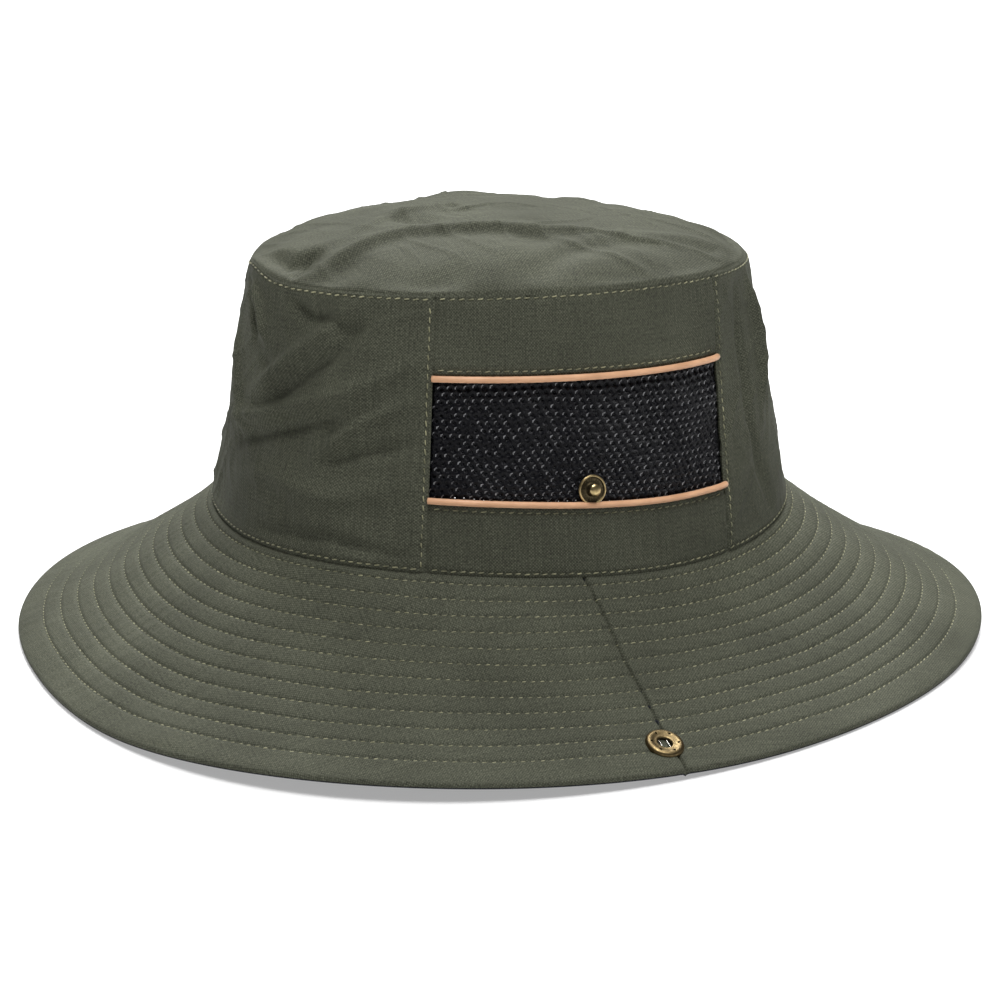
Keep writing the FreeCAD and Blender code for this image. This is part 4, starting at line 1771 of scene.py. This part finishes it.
@dataclass
class Snap:
    """The snap of one side: a stud on the window, a socket on the brim, and what holds each from behind."""

    side: Side
    brim: Brim
    crown: Crown
    stud_angle: float = math.radians(0.9)
    stud_level: float = 0.31
    socket_angle: float = math.radians(-0.3)
    socket_share: float = 0.824

    def seat(self, angle: float, on_wall: bool) -> Seat:
        """The seat of the stud or the socket, from its angle on the left side.

        Args:
            angle: The angle, in radians.
            on_wall: Whether the seat is on the crown's wall, or else on the brim.

        Returns:
            The seat.
        """
        step = np.array([-0.01, 0.0, 0.01])
        levels = self.stud_level + step if on_wall else self.socket_share - step
        t, level = np.meshgrid(self.side.angle(angle) + step, levels)
        base = self.crown.form.wall(t, level) if on_wall else self.brim.form.brim(t, level)
        normal = grid_normals(base)[1, 1]
        return Seat(base[1, 1], normal, base[2, 1] - base[0, 1])

    def stud(self) -> bpy.types.Object:
        """The stud: a thin rolled ring round a ribbed dish, with a ball in its middle.

        Returns:
            The piece.
        """
        turning = Turning(f"{self.side.word}_stud")
        piece = turning.shape((
            (4.1, -0.5), (4.55, -0.35), (4.85, 0.05), (4.9, 0.45), (4.72, 0.78), (4.45, 0.86), (4.2, 0.74),
            (4.08, 0.45), (3.9, 0.30), (2.5, 0.12), (2.3, 0.16), (2.05, 0.55), (1.92, 1.0), (2.0, 1.5),
            (2.12, 1.9), (2.1, 2.25), (1.92, 2.62), (1.55, 2.92), (1.0, 3.12), (0.4, 3.2), (0.02, 3.21),
        ))
        turning.ribs(piece, 2.55, 3.85, 0.16)
        turning.soften(piece, 0.06)
        # Painted shade: the dish round the ball and the ball's neck take the darker brass.
        turning.darken(piece, 1.95, 4.12)
        self.hold(piece, self.seat(self.stud_angle, True), "hat", f"{self.side.word}_stud", "bright_brass")
        return piece

    def post(self) -> bpy.types.Object:
        """The post behind the stud.

        Returns:
            The piece.
        """
        turning = Turning(f"{self.side.word}_stud_post")
        piece = turning.shape((
            (3.4, -3.0), (4.0, -2.9), (4.2, -2.6), (4.15, -2.2), (3.9, -2.0), (1.5, -1.9), (1.4, -0.7),
            (0.02, -0.65),
        ))
        turning.soften(piece, 0.08)
        self.hold(piece, self.seat(self.stud_angle, True), "hat",
                  f"{self.side.word}_stud_post", "antique_brass")
        return piece

    def socket(self) -> bpy.types.Object:
        """The socket: a thick rounded rim with six small holes round a deep well.

        Returns:
            The piece.
        """
        turning = Turning(f"{self.side.word}_socket")
        piece = turning.shape((
            (5.6, -0.35), (6.0, -0.2), (6.2, 0.25), (6.18, 0.75), (5.95, 1.2), (5.5, 1.52), (4.9, 1.62),
            (4.3, 1.55), (3.75, 1.38), (3.2, 1.30), (2.8, 1.34), (2.5, 1.22), (2.36, 0.9), (2.3, 0.2),
            (2.3, -0.3), (0.02, -0.32),
        ))
        turning.drill(piece, 6, 4.35, 0.42, math.radians(20))
        turning.soften(piece, 0.05)
        # Painted shade: the socket's well takes the darker brass.
        turning.darken(piece, 0.0, 2.42)
        self.hold(piece, self.seat(self.socket_angle, False), f"{self.side.word}_brim_flap",
                  f"{self.side.word}_socket", "antique_brass")
        return piece

    def spring(self) -> bpy.types.Object:
        """The two wires of the socket's spring, across its well.

        Returns:
            The piece.
        """
        rows = []
        for offset in (-1.25, 1.25):
            x = np.linspace(-1.85, 1.85, 15)
            y = offset * (1 + 0.2 * (np.abs(x) / 2.2) ** 3)
            points = np.stack([x, y, np.full(15, 0.45)], axis=1) * MM
            rows.append((points, np.full(15, 0.2 * MM)))
        piece = tube_object(f"{self.side.word}_socket_spring", rows, 10)
        self.hold(piece, self.seat(self.socket_angle, False), f"{self.side.word}_brim_flap",
                  f"{self.side.word}_socket_spring", "spring_wire")
        return piece

    def cap(self) -> bpy.types.Object:
        """The domed cap under the brim that holds the socket.

        Returns:
            The piece.
        """
        turning = Turning(f"{self.side.word}_cap")
        piece = turning.shape((
            (0.9, -4.20), (2.6, -4.12), (4.3, -3.88), (5.5, -3.5), (6.15, -3.05), (6.3, -2.7), (6.1, -2.42),
            (5.6, -2.35), (2.2, -2.3), (2.1, -1.2), (0.02, -1.15),
        ))
        turning.soften(piece, 0.06)
        self.hold(piece, self.seat(self.socket_angle, False), f"{self.side.word}_brim_flap",
                  f"{self.side.word}_cap", "antique_brass")
        return piece

    def hold(self, piece: bpy.types.Object, seat: Seat, body: str, node: str, slot: str) -> None:
        """Puts a finished snap piece in its seat, on its body and in its node's stead.

        Args:
            piece: The piece, made on the Z axis.
            seat: Where it sits.
            body: The body that it rides.
            node: The CAD node that it stands for.
            slot: Not used.
        """
        seat.place(piece)
        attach(piece, body)
        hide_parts(node)


# ---- finishes ----


class Recipe:
    """A node tree, written one node at a time."""

    def __init__(self, tree: bpy.types.NodeTree) -> None:
        """Keeps the tree."""
        self.tree = tree

    def add(self, kind: str, inputs: dict | None = None, **settings: object) -> bpy.types.Node:
        """A node with its settings made and its inputs set or joined.

        Args:
            kind: The node's type.
            inputs: A value or another node's socket for each input's name or number.
            settings: The node's own settings.

        Returns:
            The node.
        """
        node = self.tree.nodes.new(kind)
        for key, value in settings.items():
            setattr(node, key, value)
        for key, value in (inputs or {}).items():
            if isinstance(value, bpy.types.NodeSocket):
                self.tree.links.new(value, node.inputs[key])
            else:
                node.inputs[key].default_value = value
        return node

    def sum_of(self, operation: str, *values: object) -> bpy.types.NodeSocket:
        """The result of a Math node."""
        return self.add("ShaderNodeMath", dict(enumerate(values)), operation=operation).outputs[0]

    def mixed(self, factor: object, first: object, second: object) -> bpy.types.NodeSocket:
        """The mix of two colours."""
        node = self.add("ShaderNodeMix", {0: factor, 6: first, 7: second}, data_type="RGBA")
        return node.outputs[2]

    def ranged(
        self, value: object, low: float, high: float, to_low: float, to_high: float
    ) -> bpy.types.NodeSocket:
        """A value moved from one range to another, smoothly and within it."""
        node = self.add("ShaderNodeMapRange", {0: value, 1: low, 2: high, 3: to_low, 4: to_high})
        return node.outputs[0]


def colour(red: float, green: float, blue: float) -> tuple[float, float, float, float]:
    """A colour from 0 to 1 in each of the light's three parts."""
    return (red, green, blue, 1.0)


def new_material(name: str) -> tuple[bpy.types.Material, Recipe]:
    """A material without nodes.

    Args:
        name: The material's name.

    Returns:
        The material and the recipe that its nodes are written with.
    """
    material = bpy.data.materials.new(name)
    material.use_nodes = True
    material.node_tree.nodes.clear()
    return material, Recipe(material.node_tree)


class Effects:
    """The node groups that several finishes share."""

    def __init__(self) -> None:
        """Builds each group once."""
        self.weave = self.make_weave()
        self.grain = self.make_grain()

    @staticmethod
    def start(
        name: str, inputs: tuple[tuple[str, str, float], ...], outputs: tuple[str, ...]
    ) -> tuple[Recipe, object, object]:
        """A new group with its sockets.

        Args:
            name: The group's name.
            inputs: Each input's name, socket type and value.
            outputs: Each output's name.

        Returns:
            The group's recipe, its input node and its output node.
        """
        tree = bpy.data.node_groups.new(name, "ShaderNodeTree")
        for title, kind, value in inputs:
            socket = tree.interface.new_socket(title, in_out="INPUT", socket_type=kind)
            if kind == "NodeSocketFloat":
                socket.default_value = value
        for title in outputs:
            tree.interface.new_socket(title, in_out="OUTPUT", socket_type="NodeSocketFloat")
        recipe = Recipe(tree)
        return recipe, recipe.add("NodeGroupInput"), recipe.add("NodeGroupOutput")

    def make_weave(self) -> bpy.types.NodeTree:
        """A plain weave: which thread is on top, how high it stands and how uneven its threads are.

        Returns:
            The node group.
        """
        recipe, start, end = self.start(
            "plain_weave",
            (("Vector", "NodeSocketVector", 0.0), ("Threads", "NodeSocketFloat", 2500.0)),
            ("Height", "Warp", "Slub"),
        )
        scaled = recipe.add("ShaderNodeVectorMath", {0: start.outputs["Vector"]}, operation="SCALE")
        recipe.tree.links.new(start.outputs["Threads"], scaled.inputs["Scale"])
        wobble = recipe.add("ShaderNodeTexNoise", {"Vector": scaled.outputs[0], "Scale": 0.06, "Detail": 2.0})
        shift = {0: wobble.outputs["Color"], 1: (1.6, 1.6, 0.0), 2: scaled.outputs[0]}
        moved = recipe.add("ShaderNodeVectorMath", shift, operation="MULTIPLY_ADD")
        parts = recipe.add("ShaderNodeSeparateXYZ", {0: moved.outputs[0]})
        warp = recipe.sum_of("SINE", recipe.sum_of("MULTIPLY", parts.outputs[0], math.pi))
        weft = recipe.sum_of("SINE", recipe.sum_of("MULTIPLY", parts.outputs[1], math.pi))
        over = recipe.sum_of("MULTIPLY", warp, weft)
        mask = recipe.ranged(over, -0.25, 0.25, 0.0, 1.0)
        heights = {0: mask, 2: recipe.sum_of("ABSOLUTE", weft), 3: recipe.sum_of("ABSOLUTE", warp)}
        rise = recipe.add("ShaderNodeMix", heights)
        slubs = []
        for stretch in ((0.9, 0.02, 1.0), (0.02, 0.9, 1.0)):
            drawn = recipe.add(
                "ShaderNodeVectorMath", {0: scaled.outputs[0], 1: stretch}, operation="MULTIPLY")
            values = {"Vector": drawn.outputs[0], "Scale": 1.0, "Detail": 3.0}
            slubs.append(recipe.add("ShaderNodeTexNoise", values).outputs[0])
        slub = recipe.add("ShaderNodeMix", {0: mask, 2: slubs[1], 3: slubs[0]})
        recipe.tree.links.new(rise.outputs[0], end.inputs["Height"])
        recipe.tree.links.new(mask, end.inputs["Warp"])
        recipe.tree.links.new(slub.outputs[0], end.inputs["Slub"])
        return recipe.tree

    def make_grain(self) -> bpy.types.NodeTree:
        """Fine grain and broad cloudiness.

        Returns:
            The node group.
        """
        recipe, start, end = self.start(
            "grain",
            (("Vector", "NodeSocketVector", 0.0), ("Fine", "NodeSocketFloat", 900.0),
             ("Broad", "NodeSocketFloat", 25.0)),
            ("Grain", "Clouds"),
        )
        for title, name, detail in (("Fine", "Grain", 3.0), ("Broad", "Clouds", 4.0)):
            values = {"Vector": start.outputs["Vector"], "Scale": start.outputs[title], "Detail": detail}
            noise = recipe.add("ShaderNodeTexNoise", values)
            recipe.tree.links.new(noise.outputs[0], end.inputs[name])
        return recipe.tree


@dataclass(frozen=True)
class ClothFinish:
    """A woven cloth."""

    name: str
    warp: tuple[float, float, float]
    weft: tuple[float, float, float]
    threads: float = 2000.0
    unevenness: float = 0.50
    grain: float = 1300.0
    speckle: float = 0.42
    clouds: float = 0.16
    roughness: float = 0.8
    sheen: float = 0.0
    bump: float = 0.5

    def dress(self, effects: Effects) -> bpy.types.Material:
        """Builds the material.

        Args:
            effects: The node groups that it draws on.

        Returns:
            The material.
        """
        material, recipe = new_material(self.name)
        cloth = recipe.add("ShaderNodeUVMap", uv_map="cloth").outputs[0]
        weave = recipe.add("ShaderNodeGroup", node_tree=effects.weave)
        grain = recipe.add("ShaderNodeGroup", node_tree=effects.grain)
        for node in (weave, grain):
            recipe.tree.links.new(cloth, node.inputs["Vector"])
        weave.inputs["Threads"].default_value = self.threads
        base = recipe.mixed(weave.outputs["Warp"], colour(*self.weft), colour(*self.warp))
        # The colour's multiplier: real tone from slubs, clouds and grain, and painted shade and light from
        # the weave's height.
        shade = recipe.sum_of(
            "MULTIPLY",
            recipe.ranged(weave.outputs["Slub"], 0.3, 0.7, 1 - self.unevenness / 2, 1 + self.unevenness / 2),
            recipe.ranged(grain.outputs["Clouds"], 0.3, 0.7, 1 - self.clouds, 1 + self.clouds),
        )
        # Painted shade and light: the weave's low places drawn darker, down to 0.72, and its tops lighter, up
        # to 1.08.
        shade = recipe.sum_of("MULTIPLY", shade, recipe.ranged(weave.outputs["Height"], 0.0, 1.0, 0.72, 1.08))
        grain.inputs["Fine"].default_value = self.grain
        shade = recipe.sum_of(
            "MULTIPLY", shade,
            recipe.ranged(grain.outputs["Grain"], 0.3, 0.7, 1 - self.speckle, 1 + self.speckle))
        toned = recipe.add("ShaderNodeVectorMath", {0: base}, operation="SCALE")
        recipe.tree.links.new(shade, toned.inputs["Scale"])
        rough = recipe.ranged(grain.outputs["Grain"], 0.3, 0.7, self.roughness - 0.08, self.roughness + 0.08)
        slub = recipe.sum_of("MULTIPLY", weave.outputs["Slub"], 1.4)
        height = recipe.sum_of("ADD", weave.outputs["Height"], slub)
        height = recipe.sum_of("ADD", height, recipe.sum_of("MULTIPLY", grain.outputs["Grain"], 2.0))
        bump = recipe.add("ShaderNodeBump", {"Height": height, "Strength": self.bump, "Distance": 0.00012})
        shader = recipe.add("ShaderNodeBsdfPrincipled", {
            "Base Color": toned.outputs[0], "Roughness": rough, "Normal": bump.outputs[0],
            "Sheen Weight": self.sheen, "Specular IOR Level": 0.14,
        })
        recipe.add("ShaderNodeOutputMaterial", {"Surface": shader.outputs[0]})
        return material


@dataclass(frozen=True)
class YarnFinish:
    """A smooth filament yarn, piping or thread."""

    name: str
    light: tuple[float, float, float]
    dark: tuple[float, float, float]
    twist: float = 1400.0
    roughness: float = 0.5
    bump: float = 0.4
    patch: float = 220.0
    sheen: float = 0.0
    gloss: float = 0.3

    def dress(self, effects: Effects) -> bpy.types.Material:
        """Builds the material.

        Args:
            effects: The node groups that it draws on.

        Returns:
            The material.
        """
        material, recipe = new_material(self.name)
        cloth = recipe.add("ShaderNodeUVMap", uv_map="cloth").outputs[0]
        grain = recipe.add("ShaderNodeGroup", node_tree=effects.grain)
        recipe.tree.links.new(cloth, grain.inputs["Vector"])
        grain.inputs["Broad"].default_value = self.patch
        turned = recipe.add("ShaderNodeMapping", {0: cloth, "Rotation": (0, 0, math.radians(28))})
        strands = recipe.add("ShaderNodeTexWave", {"Vector": turned.outputs[0], "Scale": self.twist / 6.28,
                                                   "Distortion": 1.5, "Detail": 1.0})
        mix = recipe.ranged(grain.outputs["Clouds"], 0.35, 0.65, 0.0, 1.0)
        tone = recipe.mixed(mix, colour(*self.dark), colour(*self.light))
        rough = recipe.ranged(grain.outputs["Grain"], 0.3, 0.7, self.roughness - 0.1, self.roughness + 0.1)
        bump = recipe.add(
            "ShaderNodeBump", {"Height": strands.outputs[1], "Strength": self.bump, "Distance": 0.0001})
        shader = recipe.add("ShaderNodeBsdfPrincipled", {
            "Base Color": tone, "Roughness": rough, "Normal": bump.outputs[0], "Sheen Weight": self.sheen,
            "Specular IOR Level": self.gloss,
        })
        recipe.add("ShaderNodeOutputMaterial", {"Surface": shader.outputs[0]})
        return material


@dataclass(frozen=True)
class MetalFinish:
    """A plated metal, duller and darker in cloudy patches."""

    name: str
    bright: tuple[float, float, float]
    dull: tuple[float, float, float]
    roughness: float = 0.34
    spots: float = 900.0
    tarnish: float = 0.5

    def dress(self, effects: Effects) -> bpy.types.Material:
        """Builds the material.

        Args:
            effects: The node groups that it draws on.

        Returns:
            The material.
        """
        material, recipe = new_material(self.name)
        place = recipe.add("ShaderNodeTexCoord").outputs["Object"]
        grain = recipe.add("ShaderNodeGroup", node_tree=effects.grain)
        recipe.tree.links.new(place, grain.inputs["Vector"])
        grain.inputs["Fine"].default_value = self.spots * 4
        grain.inputs["Broad"].default_value = self.spots
        worn = recipe.ranged(grain.outputs["Clouds"], 0.35, 0.62, 1.0, 1 - self.tarnish)
        tone = recipe.mixed(worn, colour(*self.dull), colour(*self.bright))
        rough = recipe.ranged(worn, 0.0, 1.0, self.roughness + 0.2, self.roughness)
        bump = recipe.add(
            "ShaderNodeBump", {"Height": grain.outputs["Grain"], "Strength": 0.15, "Distance": 0.0001})
        shader = recipe.add("ShaderNodeBsdfPrincipled", {
            "Base Color": tone, "Roughness": rough, "Normal": bump.outputs[0], "Metallic": 1.0,
        })
        recipe.add("ShaderNodeOutputMaterial", {"Surface": shader.outputs[0]})
        return material


@dataclass(frozen=True)
class Finishes:
    """Every finish on the hat."""

    olive: ClothFinish = ClothFinish("olive_cloth", (0.077, 0.080, 0.057), (0.047, 0.050, 0.035))
    under: ClothFinish = ClothFinish("under_cloth", (0.020, 0.022, 0.028), (0.013, 0.015, 0.020), sheen=0.05)
    lining: ClothFinish = ClothFinish(
        "lining_cloth", (0.030, 0.032, 0.030), (0.020, 0.022, 0.021), 1800.0, sheen=0.05)
    thread: YarnFinish = YarnFinish(
        "thread", (0.31, 0.30, 0.18), (0.10, 0.10, 0.058), 6000.0, 0.45, 0.5, 330.0)
    dark_thread: YarnFinish = YarnFinish(
        "dark_thread", (0.060, 0.064, 0.075), (0.030, 0.032, 0.040), 6000.0, 0.45, 0.5, 330.0)
    piping: YarnFinish = YarnFinish(
        "piping", (0.67, 0.385, 0.225), (0.54, 0.295, 0.165), 1500.0, 0.42, 0.12, 120.0, 0.1)
    mesh: YarnFinish = YarnFinish(
        "mesh_yarn", (0.007, 0.007, 0.009), (0.002, 0.002, 0.003), 5200.0, 0.22, 0.9, 900.0, 0.0, 0.14)
    antique: MetalFinish = MetalFinish("antique_brass", (0.19, 0.14, 0.068), (0.05, 0.037, 0.02))
    bright: MetalFinish = MetalFinish(
        "bright_brass", (0.52, 0.40, 0.20), (0.12, 0.09, 0.042), 0.28, 700.0, 0.5)
    # Painted highlights: a light grey yarn on some faces of the mesh, standing in for the glints of the
    # lights on its loops.
    glint: YarnFinish = YarnFinish(
        "mesh_shine", (0.27, 0.27, 0.28), (0.03, 0.03, 0.033), 5200.0, 0.3, 0.5, 900.0)
    # Painted shade: a dark brass for the stud's dish and the socket's well, where shade falls.
    tarnished: MetalFinish = MetalFinish("tarnished_brass", (0.10, 0.08, 0.045), (0.03, 0.024, 0.015), 0.42)
    wire: MetalFinish = MetalFinish("spring_wire", (0.55, 0.54, 0.50), (0.22, 0.21, 0.19), 0.22, 600.0, 0.2)


# ---- studio ----


@dataclass(frozen=True)
class Studio:
    """A pale floor, soft light and the camera."""

    azimuth: float = math.radians(69.0)
    elevation: float = math.radians(15.568)
    distance: float = 1.02826
    target: tuple[float, float, float] = (0.0, 0.0, 0.063)
    roll: float = math.radians(-0.228)
    lens: float = 106.55
    shift: tuple[float, float] = (0.004246, -0.049255)

    def back(self, azimuth: float, elevation: float) -> Vector:
        """The way from the hat to something at an azimuth and an elevation."""
        return Vector((math.sin(azimuth) * math.cos(elevation), -math.cos(azimuth) * math.cos(elevation),
                       math.sin(elevation)))

    def camera(self) -> None:
        """Sets up the camera."""
        data = bpy.data.cameras.new("camera")
        data.lens = self.lens
        data.sensor_width = 36
        data.shift_x, data.shift_y = self.shift
        data.clip_end = 50
        camera = bpy.data.objects.new("camera", data)
        bpy.context.scene.collection.objects.link(camera)
        back = self.back(self.azimuth, self.elevation)
        camera.location = Vector(self.target) + back * self.distance
        look = (-back).to_track_quat("-Z", "Y").to_matrix()
        camera.rotation_euler = (look @ Matrix.Rotation(-self.roll, 3, "Z")).to_euler()
        bpy.context.scene.camera = camera

    def softbox(
        self, name: str, azimuth: float, elevation: float, far: float, size: float, power: float
    ) -> None:
        """A square soft light aimed at the hat.

        Args:
            name: The light's name.
            azimuth: Where it stands round the hat, in degrees.
            elevation: How high it stands, in degrees.
            far: Its distance.
            size: The length of its side.
            power: Its power in watts.
        """
        data = bpy.data.lights.new(name, "AREA")
        data.size = size
        data.energy = power
        light = bpy.data.objects.new(name, data)
        bpy.context.scene.collection.objects.link(light)
        back = self.back(math.radians(azimuth), math.radians(elevation))
        light.location = Vector((0, 0, 0.06)) + back * far
        light.rotation_euler = (-back).to_track_quat("-Z", "Y").to_euler()

    def floor(self) -> None:
        """The plain pale floor."""
        bpy.ops.object.select_all(action="DESELECT")
        bpy.ops.mesh.primitive_plane_add(size=16, location=(0, 0, 0))
        floor = bpy.context.object
        floor.name = "studio_floor"
        material = bpy.data.materials.new("studio_white")
        material.use_nodes = True
        shader = material.node_tree.nodes["Principled BSDF"]
        shader.inputs["Base Color"].default_value = colour(0.62, 0.62, 0.62)
        shader.inputs["Emission Color"].default_value = colour(1, 1, 1)
        shader.inputs["Emission Strength"].default_value = 0.36
        shader.inputs["Roughness"].default_value = 0.9
        shader.inputs["Specular IOR Level"].default_value = 0.0
        floor.data.materials.append(material)

    def light(self) -> None:
        """Lights the hat softly from above and behind."""
        world = bpy.data.worlds.new("studio")
        bpy.context.scene.world = world
        world.use_nodes = True
        backdrop = world.node_tree.nodes["Background"]
        backdrop.inputs[0].default_value = colour(1, 1, 1)
        backdrop.inputs[1].default_value = 0.085
        self.softbox("back_softbox", 252, 52, 4.0, 2.2, 265)
        self.softbox("top_softbox", 95, 78, 4.0, 2.2, 182)
        bpy.context.scene.view_settings.view_transform = "Standard"


def dress(
    piece: bpy.types.Object, material: bpy.types.Material, painted_light_finish: bpy.types.Material | None = None
) -> None:
    """Gives a piece its material, and a second one with painted light to the marked faces, and reports it.

    Args:
        piece: The piece.
        material: Its material.
        painted_light_finish: The material of painted shade for the snaps' recesses and of painted highlights
            for the mesh, if any faces are marked.
    """
    # The marked faces take the painted light material.
    marked = [face.material_index for face in piece.data.polygons] if painted_light_finish else []
    piece.data.materials.clear()
    piece.data.materials.append(material)
    if painted_light_finish:
        piece.data.materials.append(painted_light_finish)
        piece.data.polygons.foreach_set("material_index", marked)
    LOG.info("%s: %d faces", piece.name, len(piece.data.polygons))


def main() -> None:
    """Builds the hat, dresses it and sets up the studio."""
    logging.basicConfig(level=logging.INFO, format="%(name)s %(message)s")
    effects, finishes = Effects(), Finishes()
    olive, under = finishes.olive.dress(effects), finishes.under.dress(effects)
    lining, thread = finishes.lining.dress(effects), finishes.thread.dress(effects)
    dark_thread = finishes.dark_thread.dress(effects)
    piping, mesh = finishes.piping.dress(effects), finishes.mesh.dress(effects)
    glint = finishes.glint.dress(effects)
    antique, bright = finishes.antique.dress(effects), finishes.bright.dress(effects)
    wire, tarnished = finishes.wire.dress(effects), finishes.tarnished.dress(effects)

    form, seams = HatForm.from_frame(), Seams()
    crown = Crown(form, seams, Drape(), Thread())
    brim = Brim(form, seams, Thread())
    for piece in crown.panels().values():
        dress(piece, olive)
    dress(crown.tip(), olive)
    dress(crown.stitching(), thread)
    band = Lining(crown)
    dress(band.ring("sweatband", 0.012, 0.255, 0.25 * MM), lining)
    dress(band.ring("tip_seam_tape", 0.885, 0.985, 0.15 * MM), lining)
    for side in Side:
        dress(Window(crown, side).build(), mesh, glint)
        for upper in (True, False):
            dress(crown.piping(side, upper), piping)
        for end in End:
            dress(band.upright(side, end), lining)
            dress(brim.upper(side, end), olive)
            dress(brim.under(side, end), under)
            dress(brim.stitching(side, end, False), thread)
            dress(brim.stitching(side, end, True), dark_thread)
        snap = Snap(side, brim, crown)
        dress(snap.stud(), bright, tarnished)
        dress(snap.post(), antique)
        dress(snap.socket(), antique, tarnished)
        dress(snap.spring(), wire)
        dress(snap.cap(), antique)

    studio = Studio()
    studio.floor()
    studio.light()
    studio.camera()


if __name__ == "__main__":
    main()
